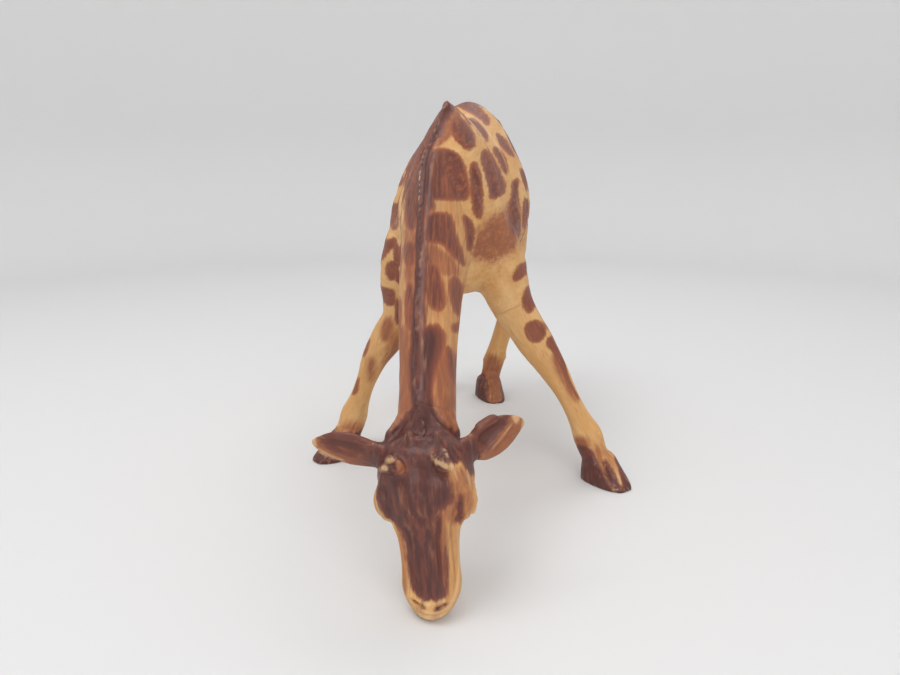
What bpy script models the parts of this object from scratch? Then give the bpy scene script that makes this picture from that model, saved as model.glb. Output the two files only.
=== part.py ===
"""Moulded giraffe figure that stoops to drink, about 1:24 scale.

Ten glued mouldings: a torso, a neck with its mane, a head, two ears, four legs and a tail.
Every limb ends in a flat joint face with a peg that seats in a socket of the piece that
carries it. The figure faces -Y, +X is its own left side, and it stands on z = 0.
"""
import bpy
import bmesh
from math import cos, exp, pi, radians, sin
from mathutils import Matrix, Vector

MM = 0.001

# Fits
JOINT_GAP = 0.3 * MM           # glue gap between two joint faces, and round each peg
CUT_OVERRUN = 2.0 * MM         # how far a cutter passes the surface that it cuts

# Torso
WITHERS_HEIGHT = 99.5 * MM
RUMP_HEIGHT = 103.8 * MM
TRUNK_LENGTH = 80.0 * MM
TRUNK_WIDTH = 39.6 * MM
CHEST_DEPTH = 48.0 * MM
BREAST_REACH = 15.0 * MM       # how far the breast lies ahead of the withers
TRUNK_BOW = 0.7 * MM           # sideways bow of the trunk, to its own left

# Neck and mane
NECK_BASE_WIDTH = 20.5 * MM
NECK_BASE_DEPTH = 35.0 * MM
NECK_END_WIDTH = 11.4 * MM
NECK_END_DEPTH = 14.5 * MM
NECK_ARCH = 6.5 * MM           # rise of the neck above a straight line
NECK_BOW = 2.6 * MM            # sideways bow of the neck, to its own right
MANE_HEIGHT = 1.7 * MM
MANE_WIDTH = 2.6 * MM

# Head
HEAD_LENGTH = 36.0 * MM
HEAD_WIDTH = 17.4 * MM
HEAD_DEPTH = 15.6 * MM
MUZZLE_REACH = 62.0 * MM       # how far the lips lie ahead of the withers
MUZZLE_OFFSET = 5.1 * MM       # the lips touch the ground a little to the left
HEAD_SLOPE = radians(77.0)     # forehead line below the horizon
HEAD_ROLL = radians(5.0)
ORBIT_RADIUS = 3.9 * MM
OSSICONE_LENGTH = 5.4 * MM
OSSICONE_RADIUS = 1.75 * MM
EAR_LENGTH = 16.8 * MM
EAR_WIDTH = 8.0 * MM
EAR_THICKNESS = 3.4 * MM

# Legs
FRONT_LEG_THICKNESS = 9.0 * MM
FRONT_LEFT_SPREAD = 43.0 * MM
FRONT_RIGHT_SPREAD = 33.5 * MM
FRONT_STAGGER = 8.0 * MM       # the left forefoot stands ahead of the right one
FRONT_SET_BACK = 10.0 * MM     # middle of the forefeet behind the withers
FRONT_RIGHT_TUCK = 1.8 * MM    # how much closer the right forearm is held to the body
HIND_LEG_THICKNESS = 7.4 * MM
HIND_LEFT_SPREAD = 6.5 * MM
HIND_RIGHT_SPREAD = 12.5 * MM
HOCK_SPREAD = 15.0 * MM
HIND_SET_BACK = 73.0 * MM
HOOF_LENGTH = 13.6 * MM
HOOF_WIDTH = 9.6 * MM
HOOF_HEIGHT = 7.0 * MM
CLEFT_WIDTH = 0.9 * MM

# Tail
TAIL_LENGTH = 38.0 * MM
TAIL_THICKNESS = 2.8 * MM
TUFT_THICKNESS = 4.4 * MM

# Pegs
NECK_PEG_RADIUS = 4.0 * MM
LEG_PEG_RADIUS = 2.6 * MM
EAR_PEG_RADIUS = 1.1 * MM
TAIL_PEG_RADIUS = 0.8 * MM
PEG_LENGTH = 4.0 * MM
SMALL_PEG_LENGTH = 2.4 * MM

# Where each limb is parted from what carries it, along its middle line
LEG_JOINT_SHARE = 0.34
TAIL_JOINT_SHARE = 0.15
EAR_JOINT_SHARE = 0.25
HEAD_JOINT_SHARE = 0.84

CREASE_ANGLE = radians(40.0)   # edges sharper than this are shaded as creases

FINISHES = {
    "ochre": ((0.584, 0.352, 0.144, 1.0), 0.42),
    "chestnut": ((0.162, 0.061, 0.040, 1.0), 0.38),
    "umber": ((0.110, 0.050, 0.042, 1.0), 0.36),
}


def finish(name):
    """Painted soft vinyl in one of the figure's three colours."""
    if name in bpy.data.materials:
        return bpy.data.materials[name]
    colour, roughness = FINISHES[name]
    material = bpy.data.materials.new(name)
    material.use_nodes = True
    shader = material.node_tree.nodes["Principled BSDF"]
    shader.inputs["Base Color"].default_value = colour
    shader.inputs["Roughness"].default_value = roughness
    shader.inputs["Metallic"].default_value = 0.0
    return material


def clear_scene():
    for obj in list(bpy.data.objects):
        bpy.data.objects.remove(obj, do_unlink=True)


def new_object(name, mesh, finish_name):
    obj = bpy.data.objects.new(name, mesh)
    bpy.context.scene.collection.objects.link(obj)
    mesh.materials.append(finish(finish_name))
    return obj


def spline(rows, steps):
    """Rows of equal length, with a smooth curve of `steps` rows through each interval."""
    out = []
    for i in range(len(rows) - 1):
        before = rows[max(i - 1, 0)]
        start, end = rows[i], rows[i + 1]
        after = rows[min(i + 2, len(rows) - 1)]
        for k in range(steps):
            t = k / steps
            out.append(tuple(
                0.5 * (2 * b + (c - a) * t + (2 * a - 5 * b + 4 * c - d) * t ** 2
                       + (3 * b - a - 3 * c + d) * t ** 3)
                for a, b, c, d in zip(before, start, end, after)))
    out.append(tuple(rows[-1]))
    return out


def ring(centre, side, up, half_width, rise, drop, sides, arch, bowl):
    """Points of a superellipse whose upper and lower halves have their own height and power."""
    points = []
    for k in range(sides):
        angle = 2 * pi * (k + 0.5) / sides
        c, s = cos(angle), sin(angle)
        height, power = (rise, arch) if s > 0 else (drop, bowl)
        across = abs(c) ** (2 / power) * (1 if c > 0 else -1)
        along = abs(s) ** (2 / power) * (1 if s > 0 else -1)
        points.append(centre + side * (half_width * across) + up * (height * along))
    return points


def skin(rings):
    """A closed mesh over a row of rings with equal point counts, flat at both ends."""
    bm = bmesh.new()
    loops = [[bm.verts.new(p) for p in points] for points in rings]
    count = len(loops[0])
    for first, second in zip(loops, loops[1:]):
        for k in range(count):
            j = (k + 1) % count
            bm.faces.new((first[k], first[j], second[j], second[k]))
    bm.faces.new(list(reversed(loops[0])))
    bm.faces.new(loops[-1])
    bmesh.ops.recalc_face_normals(bm, faces=bm.faces[:])
    mesh = bpy.data.meshes.new("skin")
    bm.to_mesh(mesh)
    bm.free()
    return mesh


def loft(name, rows, up_hint, finish_name, steps=3, sides=20, squareness=2.0, upright=False):
    """A body along rows of (x, y, z, half width, rise, drop), and the upper half's power."""
    rows = spline([(*row, squareness)[:7] for row in rows], steps)
    centres = [Vector(row[:3]) for row in rows]
    rings = []
    for i, row in enumerate(rows):
        ahead = centres[min(i + 1, len(rows) - 1)] - centres[max(i - 1, 0)]
        side = ahead.cross(up_hint).normalized()
        up = up_hint if upright else side.cross(ahead).normalized()
        rings.append(ring(centres[i], side, up, *row[3:6], sides, row[6], squareness))
    obj = new_object(name, skin(rings), finish_name)
    obj["centres"] = [tuple(c) for c in centres]
    return obj


def ellipsoid(name, centre, radii, turn, finish_name, segments=14, rings=8):
    bm = bmesh.new()
    bmesh.ops.create_uvsphere(bm, u_segments=segments, v_segments=rings, radius=1.0)
    place = Matrix.Translation(centre) @ turn.to_4x4() @ Matrix.Diagonal((*radii, 1.0))
    bmesh.ops.transform(bm, matrix=place, verts=bm.verts[:])
    mesh = bpy.data.meshes.new(name)
    bm.to_mesh(mesh)
    bm.free()
    return new_object(name, mesh, finish_name)


def apply_modifiers(obj):
    graph = bpy.context.evaluated_depsgraph_get()
    mesh = bpy.data.meshes.new_from_object(obj.evaluated_get(graph))
    obj.modifiers.clear()
    obj.data = mesh


def combine(target, other, operation):
    """Boolean of two solids; the other one is used up."""
    modifier = target.modifiers.new(operation.lower(), "BOOLEAN")
    modifier.operation = operation
    modifier.object = other
    modifier.solver = "MANIFOLD"
    apply_modifiers(target)
    bpy.data.objects.remove(other, do_unlink=True)


def duplicate(obj, name):
    copy = obj.copy()
    copy.data = obj.data.copy()
    copy.name = name
    bpy.context.scene.collection.objects.link(copy)
    return copy


def slice_off(obj, point, normal):
    """Keeps what lies behind the plane, and closes the cut with one flat face."""
    bm = bmesh.new()
    bm.from_mesh(obj.data)
    geometry = bm.verts[:] + bm.edges[:] + bm.faces[:]
    cut = bmesh.ops.bisect_plane(bm, geom=geometry, plane_co=point, plane_no=normal,
                                 clear_outer=True)
    edges = [item for item in cut["geom_cut"] if isinstance(item, bmesh.types.BMEdge)]
    bmesh.ops.contextual_create(bm, geom=edges)
    bmesh.ops.recalc_face_normals(bm, faces=bm.faces[:])
    bm.to_mesh(obj.data)
    bm.free()


def peg(name, point, axis, radius, length):
    """A round peg along the axis, centred on the joint face."""
    bm = bmesh.new()
    bmesh.ops.create_cone(bm, cap_ends=True, segments=16, radius1=radius, radius2=radius,
                          depth=2 * length)
    turn = Vector((0, 0, 1)).rotation_difference(axis).to_matrix().to_4x4()
    bmesh.ops.transform(bm, matrix=Matrix.Translation(point) @ turn, verts=bm.verts[:])
    mesh = bpy.data.meshes.new(name)
    bm.to_mesh(mesh)
    bm.free()
    return new_object(name, mesh, "ochre")


def station(limb, share):
    """The place and direction of a limb's middle line at a share of its length."""
    centres = [Vector(c) for c in limb["centres"]]
    at = max(1, min(len(centres) - 2, round(share * (len(centres) - 1))))
    return centres[at], (centres[at + 1] - centres[at - 1]).normalized()


def fit_peg(carrier, limb, point, axis, radius, length):
    """Seats the limb's peg in a socket that is one glue gap wider and deeper."""
    socket = peg("socket", point, axis, radius + JOINT_GAP, length + JOINT_GAP)
    combine(carrier, socket, "DIFFERENCE")
    combine(limb, peg("peg", point, axis, radius, length), "UNION")


def join_limb(limb, carrier, point, axis, radius, length):
    """Splits a limb at a plane: its root grows on the carrier, and the rest gets the peg."""
    root = duplicate(limb, limb.name + "_root")
    slice_off(root, point, axis)
    slice_off(limb, point + axis * JOINT_GAP, -axis)
    combine(carrier, root, "UNION")
    fit_peg(carrier, limb, point, axis, radius, length)


# Rows: share of the trunk's length; the upper line, the widest level and the lower line as
# shares of the chest depth below the back; half width as a share of the trunk's width; and
# the power of the upper curve, which is sharp over the withers and round over the rump
TRUNK_SHARES = [
    (0.000, 0.50, 0.55, 0.60, 0.04, 2.00),
    (0.030, 0.30, 0.56, 0.82, 0.17, 1.70),
    (0.090, 0.12, 0.60, 0.94, 0.27, 1.45),
    (0.180, 0.00, 0.66, 1.00, 0.35, 1.35),
    (0.290, 0.03, 0.66, 1.03, 0.40, 1.40),
    (0.410, 0.07, 0.62, 1.02, 0.455, 1.50),
    (0.530, 0.08, 0.60, 0.98, 0.495, 1.60),
    (0.640, 0.05, 0.58, 0.91, 0.49, 1.65),
    (0.750, 0.01, 0.57, 0.82, 0.46, 1.70),
    (0.850, 0.00, 0.54, 0.72, 0.40, 1.75),
    (0.930, 0.07, 0.46, 0.60, 0.29, 1.80),
    (0.980, 0.21, 0.40, 0.50, 0.17, 1.90),
    (1.000, 0.32, 0.38, 0.44, 0.05, 2.00),
]


WITHERS_SHARE, RUMP_SHARE = 0.18, 0.80         # shares of the trunk's length


def back_height(share):
    """Height of the back line, from the withers to the rump."""
    t = max(0.0, min(1.0, (share - WITHERS_SHARE) / (RUMP_SHARE - WITHERS_SHARE)))
    return WITHERS_HEIGHT + (RUMP_HEIGHT - WITHERS_HEIGHT) * t


def trunk_point(shares, sign=1):
    """A place in the trunk, from shares of its length, half width and chest depth."""
    along_share, across_share, down_share = shares
    y = TRUNK_LENGTH * along_share - BREAST_REACH
    x = TRUNK_WIDTH * 0.5 * across_share * sign + TRUNK_BOW * sin(pi * along_share)
    z = back_height(along_share) - CHEST_DEPTH * down_share
    return Vector((x, y, z))


def make_torso():
    rows = []
    for along, top, widest, bottom, half, arch in TRUNK_SHARES:
        middle = trunk_point((along, 0.0, widest))
        rise = CHEST_DEPTH * (widest - top)
        drop = CHEST_DEPTH * (bottom - widest)
        rows.append((*middle, TRUNK_WIDTH * half, rise, drop, arch))
    return loft("torso", rows, Vector((0, 0, 1)), "ochre", steps=2, sides=28, squareness=2.5,
                upright=True)


NECK_ROOT_SHARES = (0.36, 0.0, 0.36)           # in the trunk
NECK_END_SHARES = (0.24, 0.0, -0.10)           # in the head
MANE_START = 3       # the row at which the mane has risen to its full height
# Rows: share of the way from inside the trunk to the skull, sideways bow, arch, width and
# depth shares between the base and the end of the neck, and the power of the upper curve
NECK_SHARES = [
    (0.00, 0.20, 0.00, 0.85, 0.70, 1.60),
    (0.10, 0.45, 0.45, 0.45, 0.30, 1.40),
    (0.20, 0.75, 0.78, 0.10, 0.06, 1.35),
    (0.31, 1.00, 0.97, 0.16, 0.18, 1.42),
    (0.43, 0.95, 1.00, 0.42, 0.45, 1.55),
    (0.56, 1.02, 0.88, 0.62, 0.66, 1.75),
    (0.69, 0.86, 0.66, 0.82, 0.83, 1.95),
    (0.81, 0.52, 0.40, 0.95, 0.95, 2.05),
    (0.92, 0.28, 0.15, 0.90, 1.00, 2.10),
    (1.00, 0.00, 0.00, 0.80, 0.98, 2.10),
]


def head_axis():
    """Unit vector from the skull down to the lips."""
    slope = Vector((0, -cos(HEAD_SLOPE), -sin(HEAD_SLOPE)))
    return Matrix.Rotation(-HEAD_ROLL, 3, "Y") @ slope


def lips():
    return Vector((MUZZLE_OFFSET, -MUZZLE_REACH, 0.0))


def skull_top():
    return lips() - head_axis() * HEAD_LENGTH


def neck_rows():
    base = trunk_point(NECK_ROOT_SHARES)
    end = head_point(NECK_END_SHARES)
    rows = []
    for along, bow, lift, slim, shallow, arch in NECK_SHARES:
        centre = base.lerp(end, along)
        centre.x -= NECK_BOW * bow
        centre.z += NECK_ARCH * lift
        half_width = (NECK_BASE_WIDTH + (NECK_END_WIDTH - NECK_BASE_WIDTH) * slim) / 2
        depth = NECK_BASE_DEPTH + (NECK_END_DEPTH - NECK_BASE_DEPTH) * shallow
        rows.append((*centre, half_width, depth * 0.5, depth * 0.5, arch))
    return rows


def make_neck():
    rows = neck_rows()
    dorsal = Vector((0, -1, 1)).normalized()
    neck = loft("neck", rows, dorsal, "ochre", steps=3, sides=22, squareness=2.1)
    centres = neck["centres"]
    combine(neck, make_mane(rows, dorsal), "UNION")
    neck["centres"] = centres
    return neck


def make_mane(rows, dorsal):
    """The upright mane: a ridge along the neck's upper line, sunk into it by its own width."""
    ridge = []
    for i, row in enumerate(rows):
        centre = Vector(row[:3])
        ahead = Vector(rows[min(i + 1, len(rows) - 1)][:3]) - Vector(rows[max(i - 1, 0)][:3])
        side = ahead.cross(dorsal).normalized()
        up = side.cross(ahead).normalized()
        sink = MANE_HEIGHT * max(0.0, MANE_START - i)
        crest = centre + up * (row[4] - sink + (MANE_HEIGHT - MANE_WIDTH) / 2)
        half = (MANE_HEIGHT + MANE_WIDTH) / 2
        ridge.append((*crest, MANE_WIDTH / 2, half, half))
    return loft("mane", ridge[1:], dorsal, "chestnut", steps=3, sides=8)


# Rows: share of the head's length from the poll to the lips, half width, rise of the face
# and drop of the jaw as shares of the head's width and depth
HEAD_SHARES = [
    (0.000, 0.14, 0.15, 0.15),
    (0.030, 0.28, 0.30, 0.28),
    (0.090, 0.44, 0.42, 0.40),
    (0.180, 0.53, 0.47, 0.48),
    (0.290, 0.54, 0.48, 0.53),
    (0.390, 0.50, 0.45, 0.54),
    (0.470, 0.43, 0.41, 0.51),
    (0.540, 0.35, 0.36, 0.45),
    (0.640, 0.325, 0.31, 0.39),
    (0.740, 0.325, 0.285, 0.34),
    (0.830, 0.34, 0.285, 0.32),
    (0.900, 0.345, 0.295, 0.31),
    (0.955, 0.31, 0.27, 0.28),
    (0.990, 0.22, 0.21, 0.21),
    (1.010, 0.11, 0.13, 0.12),
]


ORBIT_SHARES = (0.36, 0.78, 0.12)
ORBIT_RADIUS_SHARES = (0.78, 0.95, 1.12)
OSSICONE_ROOT_SHARES = (0.17, 0.50, 0.34)
OSSICONE_AIM = (0.10, -0.88, 0.46)
# Rows: share of the ossicone's length, and girth as a share of its radius
OSSICONE_SHARES = [(0.0, 1.25), (0.3, 0.95), (0.6, 0.86), (0.8, 1.0), (0.94, 0.8), (1.0, 0.4)]


def head_point(shares, sign=1):
    """A place in the head, from shares of its length, half width and depth."""
    along_share, across_share, rise_share = shares
    axis = head_axis()
    side = axis.cross(Vector((0, -1, 0))).normalized()
    face = side.cross(axis).normalized()
    if side.x < 0:
        side = -side
    return (skull_top() + axis * (HEAD_LENGTH * along_share)
            + side * (HEAD_WIDTH * 0.5 * across_share * sign) + face * (HEAD_DEPTH * rise_share))


def make_head():
    rows = []
    for along, half, rise, drop in HEAD_SHARES:
        width = HEAD_WIDTH * half
        rows.append((*head_point((along, 0.0, 0.0)), width, HEAD_DEPTH * rise, HEAD_DEPTH * drop))
    head = loft("head", rows, Vector((0, -1, 0)), "umber", steps=2, sides=24, squareness=2.2)
    turn = Matrix.Rotation(-HEAD_ROLL, 3, "Y")
    for sign in (1, -1):
        radii = [ORBIT_RADIUS * share for share in ORBIT_RADIUS_SHARES]
        orbit = ellipsoid("orbit", head_point(ORBIT_SHARES, sign), radii, turn, "umber")
        combine(head, orbit, "UNION")
        combine(head, make_ossicone(sign), "UNION")
    slice_off(head, Vector((0, 0, 0)), Vector((0, 0, -1)))
    return head


def make_ossicone(sign):
    """A short blunt horn that rises off the forehead and ends in a round knob."""
    root = head_point(OSSICONE_ROOT_SHARES, sign)
    aim = Vector(OSSICONE_AIM) * Vector((sign, 1, 1))
    tip = root + aim.normalized() * OSSICONE_LENGTH
    rows = []
    for along_share, girth_share in OSSICONE_SHARES:
        radius = OSSICONE_RADIUS * girth_share
        rows.append((*root.lerp(tip, along_share), radius, radius, radius))
    return loft("ossicone", rows, Vector((0, 0, 1)), "umber", steps=1, sides=12)


# Rows: share of the ear's length, half width share, rise and drop shares of its thickness
EAR_SHARES = [
    (0.00, 0.44, 0.70, 0.80),
    (0.12, 0.40, 0.56, 0.66),
    (0.24, 0.40, 0.38, 0.52),
    (0.40, 0.48, 0.24, 0.48),
    (0.56, 0.50, 0.20, 0.44),
    (0.72, 0.43, 0.17, 0.38),
    (0.86, 0.29, 0.15, 0.30),
    (0.95, 0.16, 0.13, 0.20),
    (1.00, 0.06, 0.08, 0.08),
]
EAR_ROOT_SHARES = (0.15, 0.72, 0.02)
EAR_AIMS = {
    "left_ear": (1, Vector((0.78, 0.56, 0.29))),
    "right_ear": (-1, Vector((-0.98, 0.10, 0.12))),
}


def make_ear(name):
    sign, aim = EAR_AIMS[name]
    root = head_point(EAR_ROOT_SHARES, sign)
    tip = root + aim.normalized() * EAR_LENGTH
    rows = []
    for along, half, rise, drop in EAR_SHARES:
        rows.append((*root.lerp(tip, along), EAR_WIDTH * half, EAR_THICKNESS * rise,
                     EAR_THICKNESS * drop))
    return loft(name, rows, Vector((0, -1, -0.35)), "umber", steps=2, sides=16)


# Rows: share of the way down from the root to the ground, share of the way out to the hoof,
# forward shift as a share of the thickness, half width, front and back radii as shares of it
FRONT_LEG_SHARES = [
    (0.00, 0.00, 0.00, 0.28, 0.60, 0.60),
    (0.08, 0.02, 0.00, 0.52, 0.95, 1.00),
    (0.19, 0.10, 0.00, 0.74, 1.05, 1.12),
    (0.30, 0.17, 0.00, 0.76, 0.88, 0.95),
    (0.40, 0.26, 0.02, 0.64, 0.68, 0.74),
    (0.47, 0.36, 0.06, 0.56, 0.57, 0.58),
    (0.53, 0.45, 0.10, 0.54, 0.54, 0.50),
    (0.62, 0.585, 0.08, 0.42, 0.42, 0.42),
    (0.71, 0.70, 0.05, 0.32, 0.34, 0.36),
    (0.79, 0.795, 0.03, 0.34, 0.36, 0.42),
    (0.85, 0.865, 0.04, 0.45, 0.44, 0.54),
    (0.90, 0.91, 0.12, 0.42, 0.42, 0.48),
    (0.95, 0.97, 0.28, 0.39, 0.42, 0.40),
]
# Rows as for the front leg; the second share leads out to the hock at 1 and on to the hoof at 2
HIND_LEG_SHARES = [
    (0.00, 0.00, 0.30, 0.35, 0.80, 0.80),
    (0.09, 0.30, 0.35, 0.80, 1.45, 1.35),
    (0.20, 0.62, 0.50, 0.98, 1.65, 1.45),
    (0.31, 0.80, 0.45, 0.86, 1.30, 1.20),
    (0.41, 0.92, 0.12, 0.64, 0.90, 0.92),
    (0.49, 1.00, -0.14, 0.53, 0.68, 0.74),
    (0.55, 1.05, -0.36, 0.49, 0.60, 0.68),
    (0.61, 1.12, -0.42, 0.46, 0.54, 0.58),
    (0.69, 1.32, -0.28, 0.44, 0.45, 0.46),
    (0.78, 1.58, -0.14, 0.45, 0.42, 0.46),
    (0.85, 1.78, -0.04, 0.52, 0.46, 0.54),
    (0.90, 1.90, 0.06, 0.48, 0.46, 0.48),
    (0.95, 2.00, 0.20, 0.46, 0.46, 0.42),
]
FETLOCK_SHARE = 0.86           # way down to the fetlock, where the leg's set-back is complete
TUCK_SHARES = (0.48, 0.07)     # way down to the middle of the tuck, and its spread
FRONT_ROOT_SHARES = (0.23, 0.36, 0.40)
HIND_ROOT_SHARES = (0.83, 0.34, 0.26)
LEGS = {
    "front_left_leg": (1, "front"),
    "front_right_leg": (-1, "front"),
    "hind_left_leg": (1, "hind"),
    "hind_right_leg": (-1, "hind"),
}


def leg_plan(name):
    """A leg's start inside the trunk, its offsets sideways on the way down, and its set-back."""
    sign, end = LEGS[name]
    if end == "front":
        root = trunk_point(FRONT_ROOT_SHARES, sign)
        spread = FRONT_LEFT_SPREAD if sign > 0 else FRONT_RIGHT_SPREAD
        return root, [root.x, sign * spread], FRONT_SET_BACK - sign * FRONT_STAGGER / 2
    root = trunk_point(HIND_ROOT_SHARES, sign)
    spread = HIND_LEFT_SPREAD if sign > 0 else HIND_RIGHT_SPREAD
    return root, [root.x, sign * HOCK_SPREAD, sign * spread], HIND_SET_BACK


def between(values, place):
    """The value at a place such as 1.25: a quarter of the way from the second to the third."""
    first = min(int(place), len(values) - 2)
    return values[first] + (values[first + 1] - values[first]) * (place - first)


def make_leg(name):
    sign, end = LEGS[name]
    shares = FRONT_LEG_SHARES if end == "front" else HIND_LEG_SHARES
    thickness = FRONT_LEG_THICKNESS if end == "front" else HIND_LEG_THICKNESS
    root, spreads, set_back = leg_plan(name)
    tuck = FRONT_RIGHT_TUCK if name == "front_right_leg" else 0.0
    tuck_share, tuck_spread_share = TUCK_SHARES
    rows = []
    for down, out, forward, half, front, back in shares:
        x = between(spreads, out)
        x -= sign * tuck * exp(-((down - tuck_share) / tuck_spread_share) ** 2)
        y = root.y + (set_back - root.y) * min(1.0, down / FETLOCK_SHARE) - thickness * forward
        z = root.z * (1 - down)
        rows.append((x, y, z, thickness * half, thickness * front, thickness * back))
    leg = loft(name, rows, Vector((0, -1, 0)), "ochre", steps=3, sides=16)
    centres = leg["centres"]
    combine(leg, make_hoof(name, Vector(rows[-1][:3])), "UNION")
    leg["centres"] = centres
    return leg


# Rows: height share, length share ahead of and behind the pastern, half width share
HOOF_SHARES = [
    (1.08, 0.16, 0.26, 0.36),
    (0.92, 0.27, 0.34, 0.45),
    (0.55, 0.50, 0.36, 0.49),
    (0.12, 0.76, 0.34, 0.52),
    (-0.30, 0.80, 0.34, 0.52),
]
# The cleft's outline in the hoof: (share of the length ahead of the pastern, share of the height)
CLEFT_SHARES = [(-0.12, 0.0), (0.80, 0.0), (0.80, 1.10), (0.20, 0.85)]
TOE_OUT = {
    "front_left_leg": radians(41.0),
    "front_right_leg": radians(-42.0),
    "hind_left_leg": radians(22.0),
    "hind_right_leg": radians(-22.0),
}


def make_hoof(name, pastern):
    """A cloven hoof under the pastern, cut flat at the ground."""
    turn = Matrix.Rotation(TOE_OUT[name], 3, "Z")
    ahead = turn @ Vector((0, -1, 0))
    rows = []
    for height, front, back, half in HOOF_SHARES:
        centre = Vector((pastern.x, pastern.y, HOOF_HEIGHT * height))
        rows.append((*centre, HOOF_WIDTH * half, HOOF_LENGTH * front, HOOF_LENGTH * back))
    hoof = loft("hoof", rows, ahead, "umber", steps=2, sides=18, squareness=2.4)
    slice_off(hoof, Vector((0, 0, 0)), Vector((0, 0, -1)))
    combine(hoof, make_cleft(pastern, turn), "DIFFERENCE")
    return hoof


def make_cleft(pastern, turn):
    """The wedge that parts the two toes: it opens to the front and to the ground."""
    bm = bmesh.new()
    profile = []
    for ahead, height in CLEFT_SHARES:
        beyond = CUT_OVERRUN if ahead == CLEFT_SHARES[1][0] else 0.0
        below = CUT_OVERRUN if height == 0 else 0.0
        profile.append((HOOF_LENGTH * ahead + beyond, HOOF_HEIGHT * height - below))
    sides = []
    for sign in (1, -1):
        sides.append([bm.verts.new((sign * CLEFT_WIDTH / 2, -y, z)) for y, z in profile])
    bm.faces.new(sides[0])
    bm.faces.new(list(reversed(sides[1])))
    for k in range(len(profile)):
        j = (k + 1) % len(profile)
        bm.faces.new((sides[0][k], sides[1][k], sides[1][j], sides[0][j]))
    bmesh.ops.recalc_face_normals(bm, faces=bm.faces[:])
    place = Matrix.Translation((pastern.x, pastern.y, 0.0)) @ turn.to_4x4()
    bmesh.ops.transform(bm, matrix=place, verts=bm.verts[:])
    mesh = bpy.data.meshes.new("cleft")
    bm.to_mesh(mesh)
    bm.free()
    return new_object("cleft", mesh, "umber")


TAIL_ROOT_SHARES = (0.955, 0.0, 0.24)
# Rows: share of the tail's length, backward swing share, radius share of its thickness
TAIL_SHARES = [(0.00, 0.00, 0.70), (0.06, 0.16, 0.62), (0.18, 0.26, 0.50), (0.38, 0.26, 0.42),
               (0.60, 0.22, 0.38)]
TUFT_SHARES = [(0.56, 0.225, 0.15), (0.64, 0.21, 0.38), (0.76, 0.19, 0.50), (0.90, 0.18, 0.36),
               (1.00, 0.18, 0.10)]


def make_tail():
    root = trunk_point(TAIL_ROOT_SHARES)
    parts = []
    for shares, girth in ((TAIL_SHARES, TAIL_THICKNESS), (TUFT_SHARES, TUFT_THICKNESS)):
        rows = []
        for down, back, radius in shares:
            place = root + Vector((0, TAIL_LENGTH * back, -TAIL_LENGTH * down))
            rows.append((*place, girth * radius, girth * radius, girth * radius))
        parts.append(loft("tail", rows, Vector((0, -1, 0)), "chestnut", steps=3, sides=12))
    tail, tuft = parts
    centres = tail["centres"]
    combine(tail, tuft, "UNION")
    tail["centres"] = centres
    tail.name = "tail"
    return tail


def join_neck(neck, torso, head):
    """The neck meets the torso at the breast, and its last stretch is moulded with the head."""
    tip = duplicate(neck, "neck_tip")
    ahead = Vector((0, -1, 0))
    breast = ahead * BREAST_REACH
    slice_off(torso, breast, ahead)
    centres = [Vector(c) for c in neck["centres"]]
    after = next(k for k, c in enumerate(centres) if c.y < breast.y)
    before, behind = centres[after], centres[after - 1]
    point = behind.lerp(before, (behind.y - breast.y) / (behind.y - before.y))
    join_limb(neck, torso, point, ahead, NECK_PEG_RADIUS, PEG_LENGTH)
    point, axis = station(neck, HEAD_JOINT_SHARE)
    slice_off(neck, point, axis)
    slice_off(tip, point + axis * JOINT_GAP, -axis)
    combine(head, tip, "UNION")
    fit_peg(head, neck, point, axis, NECK_PEG_RADIUS, PEG_LENGTH)


def stand_on_origin(pieces):
    """Moves the figure so that the origin is under the middle of its box."""
    corners = [piece.matrix_world @ v.co for piece in pieces for v in piece.data.vertices]
    low = Vector([min(c[k] for c in corners) for k in range(3)])
    high = Vector([max(c[k] for c in corners) for k in range(3)])
    shift = -Vector(((low.x + high.x) / 2, (low.y + high.y) / 2, low.z))
    figure = bpy.data.objects.new("figure", None)
    bpy.context.scene.collection.objects.link(figure)
    for piece in pieces:
        piece.data.transform(Matrix.Translation(shift))
        piece.parent = figure
    print("origin shift mm", [round(v / MM, 3) for v in shift])


def main():
    clear_scene()
    torso = make_torso()
    neck = make_neck()
    head = make_head()
    ears = [make_ear(name) for name in EAR_AIMS]
    legs = [make_leg(name) for name in LEGS]
    tail = make_tail()
    for leg in legs:
        join_limb(leg, torso, *station(leg, LEG_JOINT_SHARE), LEG_PEG_RADIUS, PEG_LENGTH)
    join_limb(tail, torso, *station(tail, TAIL_JOINT_SHARE), TAIL_PEG_RADIUS,
              SMALL_PEG_LENGTH)
    for ear in ears:
        join_limb(ear, head, *station(ear, EAR_JOINT_SHARE), EAR_PEG_RADIUS,
                  SMALL_PEG_LENGTH)
    join_neck(neck, torso, head)
    pieces = [torso, neck, head, *ears, *legs, tail]
    for piece in pieces:
        piece.data.shade_smooth()
        piece.data.set_sharp_from_angle(angle=CREASE_ANGLE)
    stand_on_origin(pieces)


main()
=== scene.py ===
"""A moulded vinyl giraffe figure, painted by hand, that stoops to drink on a pale studio floor."""

from itertools import product
from math import cos, pi, radians, sin

import bmesh
import bpy
import numpy as np
from mathutils import Matrix, Vector
from mathutils.bvhtree import BVHTree


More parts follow.
